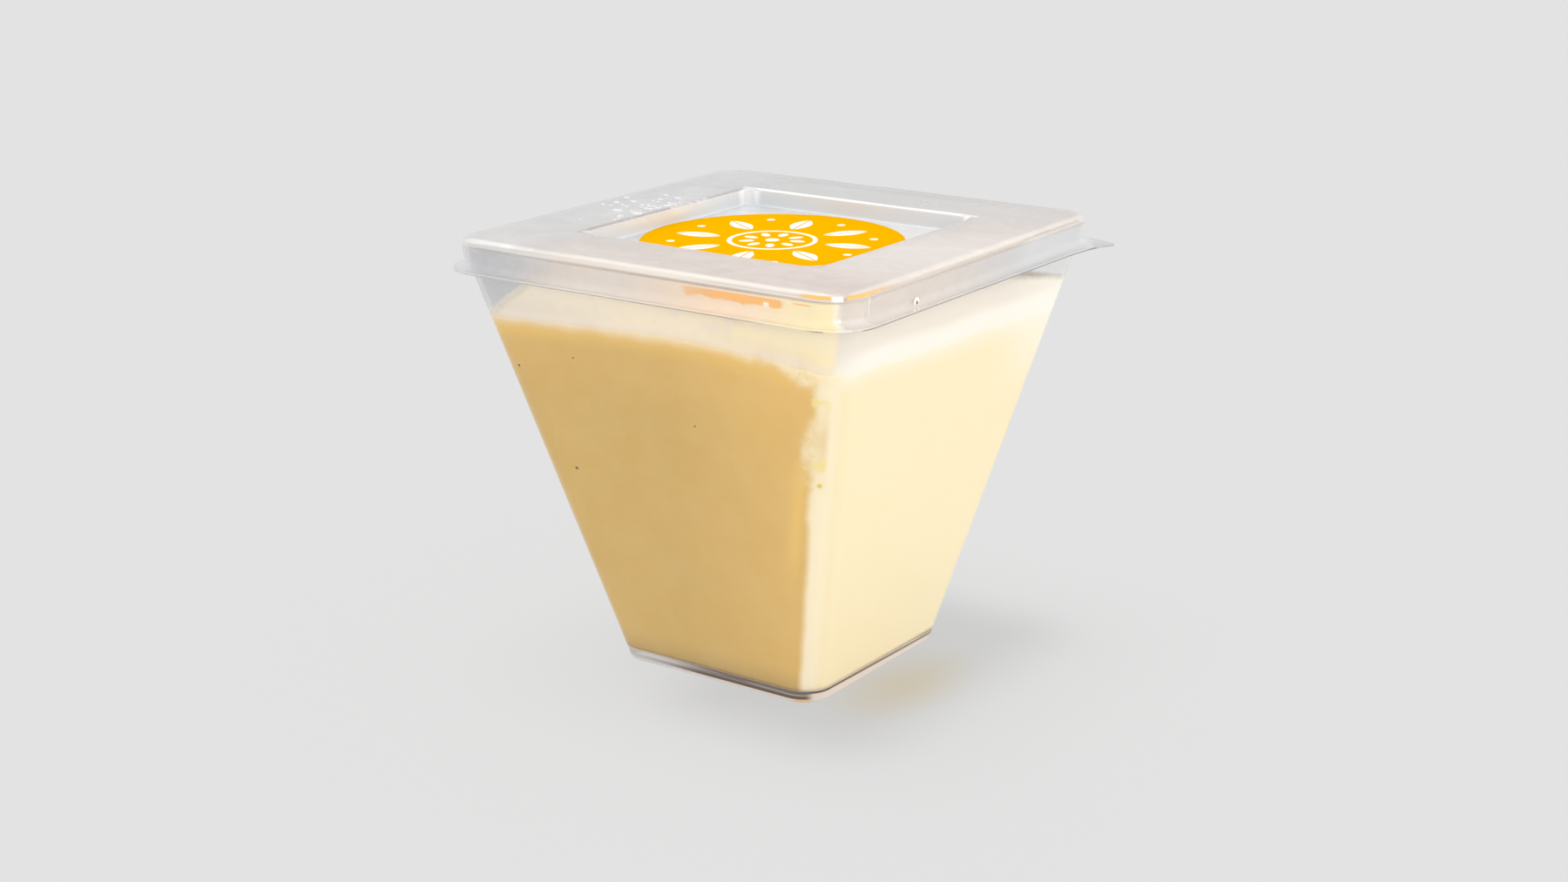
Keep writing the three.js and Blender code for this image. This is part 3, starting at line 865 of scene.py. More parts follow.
def film_material(ice):
    """Ice cream smeared on the clear wall above the fill: cream on the deeper toned faces, a pale frosted veil on
    the bright ones. It thins out at the left end and at the far right end, the more the higher up."""
    material, wire = new_material("smeared_ice_cream")
    place = wire.place()
    x, y, z = place.parts()
    over = wire.attribute("over_fill")
    cloud = place.noise(95, 4.0, 0.6, 0.3)
    dabs = place.noise(210, 3.0, 0.5, 0.4)
    tone, shaded_faces = wall_tone(wire, ice)
    # Painted light on the smears just over the fill's edge, on the +X and +Y faces
    lit = (1.0 - shaded_faces) * over.rise(4.2, 1.6) * (y.rise(-37 * MM, -28 * MM) * 0.35 + 0.2)
    tone = lit.mixed(tone, ice.film_rim)
    lean = (z - 66 * MM) * 1.5
    from_left = (x + (cloud - 0.5) * (4 * MM) - lean).rise(LEFT_START * MM, (LEFT_START + 3.5) * MM)
    far_top = z + (y - 20 * MM) * 0.2 + (cloud - 0.5) * (1.4 * MM)
    to_right = far_top.rise(68.6 * MM, 67.2 * MM).most(y.rise(19 * MM, 11 * MM))
    cover = shaded_faces.mixed_value(to_right * 0.97, from_left * 0.77 + 0.2) * over.rise(-3.4, -2.8)
    dabbed = dabs.rise(0.52, 0.68) * x.between(-12 * MM, 24 * MM, 4 * MM) * over.rise(0.5, 2.0) * shaded_faces
    tone = (dabbed * 0.45).mixed(tone, screen(236, 224, 212))
    tone = (shaded_faces * from_left.rise(0.14, 0.0)).mixed(tone, ice.left_haze)
    pale_line = (over + (cloud - 0.5) * 1.6).between(-0.4, 1.0, 0.6) * shaded_faces * 0.35
    tone = pale_line.mixed(tone, screen(240, 226, 214))
    milk = wire.node(
        "ShaderNodeBsdfPrincipled",
        {"Base Color": tone, "Roughness": 0.6, "Specular IOR Level": 0.1, "Normal": dabs.bump(0.1, 0.2 * MM)},
    )
    clear = wire.node("ShaderNodeBsdfTransparent", {"Color": (1.0, 1.0, 1.0, 1.0)})
    return finish_material(material, cover.blend_shaders(clear, milk))


class DESSERT_OT_build_film(bpy.types.Operator):
    """Builds the thin film of ice cream and frost above the fill"""

    bl_idname = "dessert.build_film"
    bl_label = "Build the smears"

    def execute(self, context):
        cup = context.scene.dessert_cup
        ice = context.scene.dessert_ice_cream
        z = np.linspace(FILM_BOTTOM, FILM_TOP, FILM_ROWS)
        inner = inner_half(cup, z)
        rows_half = np.concatenate([inner + FILM_INTO_WALL, (inner + FILM_INTO_WALL - FILM_THICKNESS)[::-1]])
        rows_z = np.concatenate([z, z[::-1]])
        rows_corner = cup.mouth_corner - cup.wall + np.concatenate([z * 0, z * 0 - FILM_THICKNESS])
        x, y = square_rings(rows_half, rows_corner, ring_steps(14, side_spots(30)))
        height = np.broadcast_to(rows_z[:, None], x.shape)
        vertices, faces = looped_grid(np.stack([x, y, height], axis=-1))
        over = (height - fill_level(ice, x, y)).ravel() / MM
        made = new_piece("ice_cream_smears", vertices, faces, [film_material(ice)], {"over_fill": over})
        settle(made, "ice_cream")
        return {"FINISHED"}


# The lid

TAB_TIP_ROUND = 0.9 * MM
TAB_DROOP_START = 52 * MM
TAB_DROOP_POWER = 1.5
LID_RIPPLE = 0.05 * MM


def lid_profile(lid):
    """Half side, corner radius and height of the rows: the underside from the middle out, then the top back."""
    shoulder = lid.shoulder_side / 2
    arc_half = shoulder - lid.shoulder_round
    arc_z = LID_HEIGHT - lid.shoulder_round
    flare = lid.skirt_side / 2 + lid.flare_round
    lip = LIP_SIDE / 2
    middle = lid.recess_floor_side / 2 - lid.recess_round
    floor_z = LID_HEIGHT - lid.recess_depth
    edge = lid.recess_side / 2 + lid.recess_round
    edge_z = LID_HEIGHT - lid.recess_round

    def surface(under):
        """One face of the sheet from the middle to the lip, lowered by the wall for the underside."""
        pieces = [
            arc(middle, floor_z + lid.recess_round, lid.recess_round + under, -90, 0, 6),
            arc(edge, edge_z, lid.recess_round - under, 180, 90, 6),
            arc(arc_half, arc_z, lid.shoulder_round - under, 90, 0, 12),
            arc(flare, lid.flare_height, lid.flare_round + under, 180, 270, 8),
        ]
        centre = (0, floor_z - under)
        lip_end = (lip, lid.lip_bottom + lid.wall - under)
        rows = [
            [centre],
            line(centre, pieces[0][0], 12),
            pieces[0],
            line(pieces[0][-1], pieces[1][0], 3, 0.1),
            pieces[1],
            line(pieces[1][-1], pieces[2][0], 14),
            pieces[2],
            line(pieces[2][-1], pieces[3][0], 4, 0.05),
            pieces[3],
            line(pieces[3][-1], lip_end, 3, 0.2),
            [lip_end],
        ]
        return np.concatenate([np.atleast_2d(row) for row in rows])

    rows = np.concatenate([surface(lid.wall), surface(0.0)[::-1]])
    half, z = rows[:, 0], rows[:, 1]
    inner = lid.recess_corner + half - lid.recess_side / 2
    outer = lid.shoulder_corner + half - shoulder
    across = np.clip((half - edge) / (arc_half - edge), 0, 1)
    return half, np.clip(inner + (outer - inner) * across, 0.3 * MM, None), z


def tab_outline(share_round, lip, start):
    """The tab's edge from one start to the other as x and y: straight to the tip's rounding, a quarter bend,
    and straight back, by a share from 0 to 1."""
    side = TAB_REACH - TAB_TIP_ROUND
    knots = np.array([0.0, 0.44, 0.5, 0.56, 1.0])
    near = TAB_REACH - 0.22 * TAB_TIP_ROUND
    knot_x = np.array([lip, TAB_REACH, near, side, start])
    knot_y = np.array([start, side, near, TAB_REACH, lip])
    return np.interp(share_round, knots, knot_x), np.interp(share_round, knots, knot_y)


def draw_out_tab(lid, points, half):
    """Moves the lip's corner at +X +Y out to the tab: each point goes towards the tab's outline by how far out
    on the lip it lies, and the tab sinks towards its tip."""
    flare = lid.skirt_side / 2 + lid.flare_round
    lip = LIP_SIDE / 2
    out = np.clip((half[:, None] - flare) / (lip - flare), 0, 1)
    x, y = points[..., 0], points[..., 1]
    on_tab = (x > lid.tab_start) & (y > lid.tab_start)
    turned = np.arctan2(y, x)
    first = np.arctan2(lid.tab_start, lip)
    share_round = np.clip((turned - first) / (np.pi / 2 - 2 * first), 0, 1)
    tab_x, tab_y = tab_outline(share_round, lip, lid.tab_start)
    low = points[..., 2] < lid.lip_bottom + lid.wall + 0.05 * MM
    weight = np.where(on_tab & low, out, 0)
    x = x + (tab_x - x) * weight
    y = y + (tab_y - y) * weight
    reach = math.sqrt(2) * TAB_REACH - TAB_DROOP_START
    droop = lid.tab_droop * np.clip((np.hypot(x, y) - TAB_DROOP_START) / reach, 0, 1) ** TAB_DROOP_POWER
    return np.stack([x, y, points[..., 2] - droop * (weight > 0)], axis=-1)


def hazy_plastic(lid):
    """Thin hazy sheet: part clear and part milky by place, white at its bends and lip by painted highlights, part
    whitening of the bent sheet, with painted shade lines under the lip and along the far bend, a streak of fruit on the
    skirt, painted golden reflections of the sticker and white highlights by the front corner, and mirroring more at a
    flat angle."""
    material, wire = new_material("hazy_lid_plastic")
    place = wire.place()
    x, y, z = place.parts()
    from_middle = abs(x).most(abs(y))
    to_corner = x - y
    wisps = place.noise(85, 5.0, 0.6, 0.6)
    fine = place.noise(600, 3.0, 0.6)
    ragged = place.noise(260, 3.0, 0.6)
    veins = wire.node("ShaderNodeMapping", {"Vector": place, "Scale": (0.25, 1.0, 1.0)}).noise(160, 3.0, 0.6, 0.5)
    front = to_corner.rise(-44 * MM, 44 * MM)
    left = x.rise(-10 * MM, -32 * MM)

    # Where on the lid each part lies
    ring_top = from_middle.rise(24.0 * MM, 24.8 * MM) * z.rise(75.0 * MM, 75.8 * MM)
    ring_left = ring_top * x.rise(-18 * MM, -28 * MM)
    ring_right = ring_top * x.rise(22 * MM, 28 * MM) * y.between(-24 * MM, 8 * MM, 10 * MM)
    recess_floor = from_middle.rise(24.3 * MM, 23.6 * MM)
    recess_wall = from_middle.between(23.6 * MM, 24.4 * MM, 0.3 * MM) * z.rise(75.9 * MM, 75.4 * MM)
    left_wall = recess_wall * x.rise(-22 * MM, -23 * MM)
    # A painted highlight up the recess's back corner
    recess_corner = (y - x).rise(44.6 * MM, 45.8 * MM) * recess_wall
    at_bend = to_corner.rise(72.4 * MM, 73.5 * MM)
    skirt = from_middle.rise(38.6 * MM, 39.1 * MM).most(at_bend) * z.rise(74.9 * MM, 74.4 * MM)
    turned = (x + y).rise(-1.6 * MM, 0.2 * MM)
    bend_height = z.rise(74.5 * MM, 75.2 * MM) * from_middle.rise(37.4 * MM, 38.3 * MM)
    front_side = y.rise(-37.3 * MM, -38.2 * MM)
    right_side = x.rise(37.3 * MM, 38.2 * MM)
    far_side = y.rise(37.3 * MM, 38.2 * MM).most(x.rise(-37.3 * MM, -38.2 * MM))
    recess_edge = from_middle.between(23.9 * MM, 24.55 * MM, 0.1 * MM) * z.rise(75.55 * MM, 75.75 * MM)
    # A painted highlight along the recess's back edge
    back_edge_highlight = recess_edge * y.rise(22 * MM, 23.5 * MM)
    tab = (x + y).rise(78 * MM, 79 * MM) * z.rise(71.2 * MM, 70.9 * MM)

    # How milky each part is
    haze = wisps.rise(0.3, 0.75) * 0.16 + fine.rise(0.4, 0.8) * 0.04 + 0.14
    haze = haze + ring_top * (front * 0.32 + 0.22) + recess_floor * ((x + y).rise(4 * MM, 20 * MM) * 0.2 + 0.46) + recess_wall * 0.62
    haze = haze + ring_left * 0.25 + ring_right * 0.1 + left_wall * 0.2
    haze = haze * (1.0 - skirt * (1.0 - left) * 0.7)
    skirt_haze = front_side * (left * 0.36 + x.rise(-30 * MM, -4 * MM) * 0.5 + x.rise(-6 * MM, 20 * MM) * 0.28)
    skirt_haze = skirt_haze.most(right_side * (y.rise(-20 * MM, 20 * MM) * 0.3 + 0.3))
    skirt_haze = skirt_haze.most(at_bend * (0.72 - turned * 0.3))
    haze = haze + skirt * skirt_haze + tab * 0.35
    # Painted highlight along the front and right shoulder, part whitening of the bent sheet
    front_highlight = bend_height * front_side * (x.rise(-40 * MM, 10 * MM) * 0.35 + 0.45)
    side_highlight = bend_height * right_side * 0.4
    # A painted shade line along the far bend
    far_shade_line = bend_height * far_side * z.rise(75.4 * MM, 75.6 * MM) * 0.8
    misted = x.between(-34 * MM, -20 * MM, 3 * MM) * y.between(-14 * MM, 18 * MM, 8 * MM) * z.rise(74 * MM, 75 * MM)
    mist = (place.noise(240, 3.0, 0.55, 0.8).rise(0.4, 0.7) * 0.6 + 0.25) * misted
    haze = haze.most(front_highlight).most(side_highlight).most(far_shade_line).most(back_edge_highlight * 0.85)
    haze = haze.most(mist * 0.8).most(recess_corner * 0.9)

    # Its tone
    tone = (front * 0.9 + (veins - 0.5) * 0.3).mixed(lid.haze, lid.warm_haze)
    tone = (ring_right * 0.7).mixed(tone, screen(238, 228, 219))
    tone = (ring_left * 0.6).mixed(tone, screen(204, 205, 206))
    floor_tone = x.rise(-8 * MM, -20 * MM).mixed(screen(252, 252, 251), screen(246, 249, 252))
    tone = (recess_floor * 0.9).mixed(tone, floor_tone)
    tone = (recess_wall * 0.9).mixed(tone, left_wall.mixed(screen(209, 212, 216), screen(208, 210, 212)))
    peach = x.rise(-6 * MM, 16 * MM).mixed(screen(240, 231, 224), screen(253, 230, 203))
    peach = x.rise(18 * MM, 36 * MM).mixed(peach, screen(255, 240, 194))
    front_tone = left.mixed(peach, screen(205, 206, 210))
    right_tone = y.rise(-24 * MM, 18 * MM).mixed(screen(242, 232, 224), screen(217, 218, 220))
    tone = skirt.mixed(tone, turned.mixed(front_tone, right_tone))
    tone = (mist * 0.9).mixed(tone, screen(230, 230, 230))
    # The painted highlight up the recess's back corner
    tone = recess_corner.mixed(tone, screen(250, 250, 250))
    # The painted highlight's tone along the front and right shoulder, greyer at the left end
    highlight_tone = left.mixed(lid.bend, screen(236, 235, 233))
    tone = (bend_height * (front_side + right_side).least(1.0)).mixed(tone, highlight_tone)
    tone = far_shade_line.mixed(tone, screen(188, 188, 188))
    tone = back_edge_highlight.mixed(tone, screen(250, 250, 250))
    tone = tab.mixed(tone, screen(186, 186, 186))

    # A painted grey shade line that splits the painted shoulder highlight in two towards the front corner
    split = z.between(75.25 * MM, 75.45 * MM, 0.1 * MM) * x.between(12 * MM, 34 * MM, 4 * MM) * front_side
    split = split.most(z.between(74.5 * MM, 74.75 * MM, 0.1 * MM) * x.between(-18 * MM, 24 * MM, 6 * MM) * front_side)
    tone = (split * 0.5).mixed(tone, screen(200, 190, 182))

    # The lip's painted highlight along its upper edge and the painted shade line under it
    lip = from_middle.rise(40.35 * MM, 40.6 * MM).most(to_corner.rise(78.1 * MM, 78.4 * MM)) * z.rise(72 * MM, 71.6 * MM)
    lip = lip * (x + y).rise(78 * MM, 76 * MM)
    lip_shade_line = x.between(-20 * MM, 24 * MM, 5 * MM) * front_side * 0.5 + right_side * 0.8
    lip_shade_line = lip_shade_line.most(to_corner.rise(74 * MM, 76 * MM) * 0.75) * lip * z.rise(70.86 * MM, 70.74 * MM)
    lip_highlight = lip * z.rise(70.84 * MM, 70.94 * MM) * (front_side * 0.35 + 0.25) * (1.0 - at_bend * 0.6)
    tone = lip_highlight.mixed(tone, lid.bend)
    tone = lip_shade_line.mixed(tone, screen(104, 96, 92))
    haze = haze.most(lip_highlight * 0.9).most(lip_shade_line)

    # The streak of fruit and a short thin one beside it
    streak_low = (z + (ragged - 0.5) * (2.4 * MM)).rise(72.6 * MM, 73.2 * MM) * z.rise(74.35 * MM, 74.1 * MM)
    streak = streak_low * x.between(9.5 * MM, 28 * MM, 0.8 * MM) * (x.rise(8 * MM, 18 * MM) * 0.4 + 0.55)
    thin = z.between(73.95 * MM, 74.2 * MM, 0.08 * MM) * x.between(30.2 * MM, 33.2 * MM, 0.6 * MM)
    streak = streak.most(thin * 0.8) * front_side
    tone = streak.mixed(tone, lid.streak)
    haze = haze.most(streak)

    # Painted reflections round the front corner: golden glints of the orange sticker and white highlight spots
    edge_line = from_middle.rise(37.8 * MM, 38.2 * MM) * z.between(75.2 * MM, 75.7 * MM, 0.12 * MM)
    glint = edge_line * to_corner.rise(69 * MM, 72 * MM)
    glint = glint.most(edge_line * right_side * to_corner.rise(62 * MM, 70 * MM) * 0.7)
    glint = (glint * (fine.rise(0.2, 0.5) * 0.4 + 0.6)).least(0.95)
    tone = glint.mixed(tone, lid.glint)
    # White painted highlights: spots on the corner's shoulder and flare, a dot on the front skirt and a curved gleam on
    # the right skirt
    across = abs(x + y + 0.8 * MM)
    spot = across.rise(1.7 * MM, 0.8 * MM) * z.between(74.9 * MM, 75.7 * MM, 0.2 * MM)
    spot = spot.most(across.rise(1.3 * MM, 0.5 * MM) * z.between(71.6 * MM, 72.4 * MM, 0.3 * MM) * 0.8)
    spot = spot.most(across.rise(1.6 * MM, 0.6 * MM) * skirt * 0.3) * to_corner.rise(70 * MM, 72 * MM)
    skirt_highlight = z.between(SKIRT_HIGHLIGHT_LOW * MM, (SKIRT_HIGHLIGHT_LOW + 0.8) * MM, 0.15 * MM) * abs(x - SKIRT_HIGHLIGHT_X * MM).rise(0.7 * MM, 0.3 * MM)
    spot = spot.most(skirt_highlight * front_side * 0.75)
    gleam_place = y - (z - 74 * MM) * (z - 74 * MM) * 120.0
    gleam = gleam_place.between(-33.2 * MM, -32.8 * MM, 0.3 * MM) * right_side * z.between(72 * MM, 75.2 * MM, 0.4 * MM)
    spot = spot.most(gleam * 0.7)
    tone = spot.mixed(tone, screen(255, 253, 250))
    haze = haze.most(glint).most(spot)

    milky = wire.node(
        "ShaderNodeBsdfPrincipled",
        {"Base Color": tone, "Roughness": 0.35, "Normal": wisps.bump(0.08, 0.3 * MM)},
    )
    clear = wire.node("ShaderNodeBsdfTransparent", {"Color": (0.985, 0.985, 0.985, 1.0)})
    mirror = wire.node("ShaderNodeBsdfGlossy", {"Color": (1, 1, 1, 1), "Roughness": 0.05})
    sheet = haze.least(0.95).blend_shaders(clear, milky)
    return finish_material(material, sheet_gloss(wire).blend_shaders(sheet, mirror))


class DESSERT_OT_build_lid(bpy.types.Operator):
    """Builds the thin lid with its recess, lip and pull tab"""

    bl_idname = "dessert.build_lid"
    bl_label = "Build the lid"

    def execute(self, context):
        lid = context.scene.dessert_lid
        half, corner, z = lid_profile(lid)
        ring = ring_steps(20, side_spots(30))
        x, y = square_rings(half, corner, ring)
        points = np.stack([x, y, np.broadcast_to(z[:, None], x.shape)], axis=-1)
        points = draw_out_tab(lid, points, half)
        flat_place = points * (1, 1, 0)
        points[..., 2] += LID_RIPPLE * lattice_noise(flat_place, 9 * MM, 21)
        vertices, faces = closed_grid(points)
        made = new_piece("lid_shell", vertices, faces, [hazy_plastic(lid)])
        settle(made, "clear_lid", "lid")
        return {"FINISHED"}


# Drops on the lid and specks of fruit

DROP_COUNT = 54
SPECKS = (
    (-21.4, 36.8, 0.36, 0),
    (28.9, 43.0, 0.46, 2),
    (-29.5, 54.5, 0.22, 0),
    (-17.0, 57.8, 0.2, 0),
    (6.2, 49.5, 0.18, 0),
    (16.8, 60.6, 0.22, 2),
)
LEFT_START = -31.2
# Where the painted highlight dot on the front skirt lies, in millimetres
SKIRT_HIGHLIGHT_X = 25.1
SKIRT_HIGHLIGHT_LOW = 72.8
SPECK_DEPTH = 0.1 * MM
SKIRT_SPECK = (39.45 * MM, -19.7 * MM, 71.6 * MM)


def beads(name, centres, radii, materials, face_materials=None):
    """One mesh of closed flattened spheres: each point is the centre plus the radii times a unit sphere's point."""
    up = np.radians(np.linspace(-90, 90, 9))
    turned = np.linspace(0, 2 * np.pi, 17)[:-1]
    sphere = np.stack([
        np.cos(up)[:, None] * np.cos(turned),
        np.cos(up)[:, None] * np.sin(turned),
        np.broadcast_to(np.sin(up)[:, None], (9, 16)),
    ], axis=-1)
    unit, face_groups = closed_grid(sphere)
    centres = np.asarray(centres)[:, None]
    vertices = (centres + np.asarray(radii)[:, None] * unit).reshape(-1, 3)
    starts = np.arange(len(centres))[:, None, None] * len(unit)
    groups = [(faces + starts).reshape(-1, faces.shape[1]) for faces in face_groups]
    if face_materials is not None:
        per_group = [np.repeat(face_materials, len(faces)) for faces in face_groups]
        face_materials = np.concatenate(per_group)
    return new_piece(name, vertices, groups, materials, face_materials=face_materials)


def plain_material(name, tone, roughness, gloss):
    """An even material with a little mottling."""
    material, wire = new_material(name)
    mottled = (wire.place().noise(900, 2.0) * 0.3).mixed(tone, tuple(share * 0.9 for share in tone))
    inputs = {"Base Color": mottled, "Roughness": roughness, "Specular IOR Level": gloss}
    return finish_material(material, wire.node("ShaderNodeBsdfPrincipled", inputs))


class DESSERT_OT_build_drops(bpy.types.Operator):
    """Builds the small drops on the left of the lid's ring"""

    bl_idname = "dessert.build_drops"
    bl_label = "Build the drops"

    def execute(self, context):
        lid = context.scene.dessert_lid
        random = np.random.default_rng(17)
        middles = np.array([(-31.5, -3.0), (-25.8, 3.5), (-25.6, 1.0), (-24.9, -7.0)])
        picked = middles[random.integers(0, len(middles), DROP_COUNT)] + random.normal(0, (2.6, 4.2), (DROP_COUNT, 2))
        x = np.clip(picked[:, 0], -36.5, -25.4) * MM
        y = np.clip(picked[:, 1], -20, 20) * MM
        size = np.exp(random.normal(-0.95, 0.35, DROP_COUNT)) * MM
        centres = np.stack([x, y, np.full(DROP_COUNT, LID_HEIGHT)], axis=-1)
        radii = np.stack([size * random.uniform(0.8, 1.5, DROP_COUNT), size, size * 0.45], axis=-1)
        made = beads("lid_drops", centres, radii, [plain_material("lid_drop", lid.drops, 0.12, 0.6)])
        settle(made, "clear_lid")
        return {"FINISHED"}


class DESSERT_OT_build_specks(bpy.types.Operator):
    """Builds the few specks of fruit at the cup's wall and on the lid's skirt"""

    bl_idname = "dessert.build_specks"
    bl_label = "Build the specks"

    def execute(self, context):
        cup = context.scene.dessert_cup
        ice = context.scene.dessert_ice_cream
        depth = cup.wall - ice.contact
        centres = [(x * MM, depth - cup_half(cup, z * MM), z * MM) for x, z, _, _ in SPECKS]
        radii = [(size * MM, SPECK_DEPTH, size * 0.8 * MM) for _, _, size, _ in SPECKS]
        for size, thick in ((0.85, 0.12), (0.35, 0.2)):
            centres.append(SKIRT_SPECK)
            radii.append((thick * MM, size * MM, size * MM))
        shown = np.array([kind for _, _, _, kind in SPECKS] + [1, 0])
        materials = [
            plain_material("fruit_speck", ice.speck, 0.6, 0.2),
            plain_material("speck_ring", ice.speck_ring, 0.6, 0.2),
            plain_material("pulp_speck", ice.pulp_speck, 0.6, 0.2),
        ]
        made = beads("fruit_specks", centres, radii, materials, shown)
        settle(made, "ice_cream")
        return {"FINISHED"}


# The sticker

SEEDS = 9
LEAVES = 8


def sticker_material(sticker):
    """Printed orange paper: half a fruit with seeds in the middle, and a wreath of leaves and dots round it."""
    material, wire = new_material("printed_sticker")
    place = wire.place()
    centred = wire.node("ShaderNodeMapping", {"Vector": place, "Location": tuple(-STICKER_CENTRE)})
    x, y, _ = centred.parts()
    far = (x * x + y * y).power(0.5)
    turned = y.maths("ARCTAN2", y, x)

    def sector(count, start):
        """The angle from the middle of the nearest of so many equal sectors, in radians."""
        place_round = turned * (count / (2 * math.pi)) + start
        return (place_round - place_round.maths("FLOOR", place_round) - 0.5) * (2 * math.pi / count)

    soft = 0.05 * MM
    rind = far.between(6.9 * MM, 7.7 * MM, soft)
    across = sector(SEEDS, 0.0) * far / (0.75 * MM)
    outward = (far - 4.4 * MM) / (1.3 * MM)
    seeds = (across * across + outward * outward).rise(1.1, 0.9)
    core = far.rise(1.25 * MM, 1.15 * MM)
    bend = sector(LEAVES, 0.2)
    outward = far * bend.maths("COSINE", bend) - 13.6 * MM
    across = abs(far * bend.maths("SINE", bend))
    leaf_share = outward / (4.3 * MM)
    leaf = (across - (1.0 - leaf_share * leaf_share) * (1.75 * MM)).rise(soft, -soft)
    leaf = leaf * across.rise(0.12 * MM, 0.2 * MM)
    bend = sector(LEAVES, 0.7)
    outward = far * bend.maths("COSINE", bend) - 17.2 * MM
    across = far * bend.maths("SINE", bend)
    dots = (outward * outward + across * across).power(0.5).rise(0.8 * MM, 0.7 * MM)
    print_share = rind.most(seeds).most(core).most(leaf).most(dots)
    fibres = place.noise(900, 3.0, 0.6)
    worn = fibres.rise(0.2, 0.5) * 0.08 + 0.92
    ink = (print_share * worn).mixed(sticker.ground, sticker.print_white)
    shader = wire.node(
        "ShaderNodeBsdfPrincipled",
        {
            "Base Color": ink,
            "Roughness": fibres * 0.15 + 0.55,
            "Specular IOR Level": 0.0,
            "Normal": fibres.bump(0.05, 0.05 * MM),
        },
    )
    return finish_material(material, shader)


class DESSERT_OT_build_sticker(bpy.types.Operator):
    """Builds the round sticker in the lid's recess"""

    bl_idname = "dessert.build_sticker"
    bl_label = "Build the sticker"

    def execute(self, context):
        lid = context.scene.dessert_lid
        low = LID_HEIGHT - lid.recess_depth + 0.06 * MM
        high = STICKER_HIGH.z
        edge = 0.05 * MM
        rim = [
            arc(STICKER_RADIUS - edge, low + edge, edge, -90, 0, 3),
            arc(STICKER_RADIUS - edge, high - edge, edge, 0, 90, 3),
        ]
        rows = np.concatenate(
            [[(0, low)], line((0, low), rim[0][0], 8), *rim, line(rim[1][-1], (0, high), 16), [(0, high)]]
        )
        turned = np.linspace(0, 2 * np.pi, 97)[:-1]
        x = STICKER_CENTRE.x + rows[:, :1] * np.cos(turned)
        y = STICKER_CENTRE.y + rows[:, :1] * np.sin(turned)
        points = np.stack([x, y, np.broadcast_to(rows[:, 1:], x.shape)], axis=-1)
        points[..., 2] += 0.03 * MM * lattice_noise(points * (1, 1, 0), 5 * MM, 31)
        vertices, faces = closed_grid(points)
        made = new_piece("round_sticker", vertices, faces, [sticker_material(context.scene.dessert_sticker)])
        settle(made, "sticker", "sticker")
        return {"FINISHED"}


# Floor, lights and camera

FLOOR_SIDE = 12.0
SENSOR_WIDTH = 36.0
KEY_FROM = (-0.40, 0.20, 0.89)
SIDE_FROM = (0.96, 0.15, 0.22)
SHADE_FROM = (-0.10, -0.06, 0.99)


def floor_material(stage):
    """A plain pale floor: part of its tone is its own, so that shadows on it stay soft and light. Next to the
    foot a shadow is painted on it, by the distance from a rounded square, and a warm glow is painted where light falls
    through the cup."""
    material, wire = new_material("studio_floor")
    x, y, _ = wire.place().parts()
    # Painted shadow: darker next to the foot, by the distance from a rounded square
    aside = (abs(x - 18 * MM) - 10 * MM).most(0.0)
    along = (abs(y - 1 * MM) - 24 * MM).most(0.0)
    away = (aside * aside + along * along).power(0.5)
    toned = away.rise(21 * MM, 0.0) * stage.contact
    # Painted warm glow where light falls through the cup
    warm_x = (x - 28 * MM) / (13 * MM)
    warm_y = (y + 4 * MM) / (24 * MM)
    warm_glow_mask = (warm_x * warm_x + warm_y * warm_y).power(0.5).rise(1.0, 0.0) * stage.glow
    shade_tone = toned.mixed((1.0, 1.0, 1.0), (0.0, 0.0, 0.0))
    glow_tone = warm_glow_mask.mixed((1.0, 1.0, 1.0), (0.93, 0.62, 0.0))
    seen_tone = wire.node(
        "ShaderNodeMix", {0: 1.0, 6: shade_tone, 7: glow_tone}, output=2, data_type="RGBA", blend_type="MULTIPLY"
    )
    lamps = [(KEY_FROM, stage.key), (SHADE_FROM, stage.shade)]
    from_lamps = sum(Vector(towards).normalized().z * energy / math.pi for towards, energy in lamps)
    from_dome = stage.floor_tone[0] * stage.dome * (1 + stage.horizon / 3)
    own_tone = wire.node(
        "ShaderNodeMix",
        {0: 1.0, 6: seen_tone, 7: (*stage.floor_tone, 1.0)},
        output=2,
        data_type="RGBA",
        blend_type="MULTIPLY",
    )
    own = wire.node("ShaderNodeEmission", {"Color": own_tone, "Strength": 1 - stage.floor_diffuse})
    kept = stage.floor_diffuse * stage.floor_tone[0] / (from_dome + from_lamps)
    lit = wire.node("ShaderNodeBsdfDiffuse", {"Color": (kept, kept, kept, 1.0)})
    return finish_material(material, wire.node("ShaderNodeAddShader", {0: own, 1: lit}))


def add_lamp(name, towards, energy, spread):
    """A wide lamp far away in a direction, which lights everything alike."""
    data = bpy.data.lights.new(name, "SUN")
    data.energy = energy
    data.angle = spread
    made = bpy.data.objects.new(name, data)
    made.rotation_euler = Vector(towards).to_track_quat("Z", "Y").to_euler()
    bpy.context.scene.collection.objects.link(made)
    return made


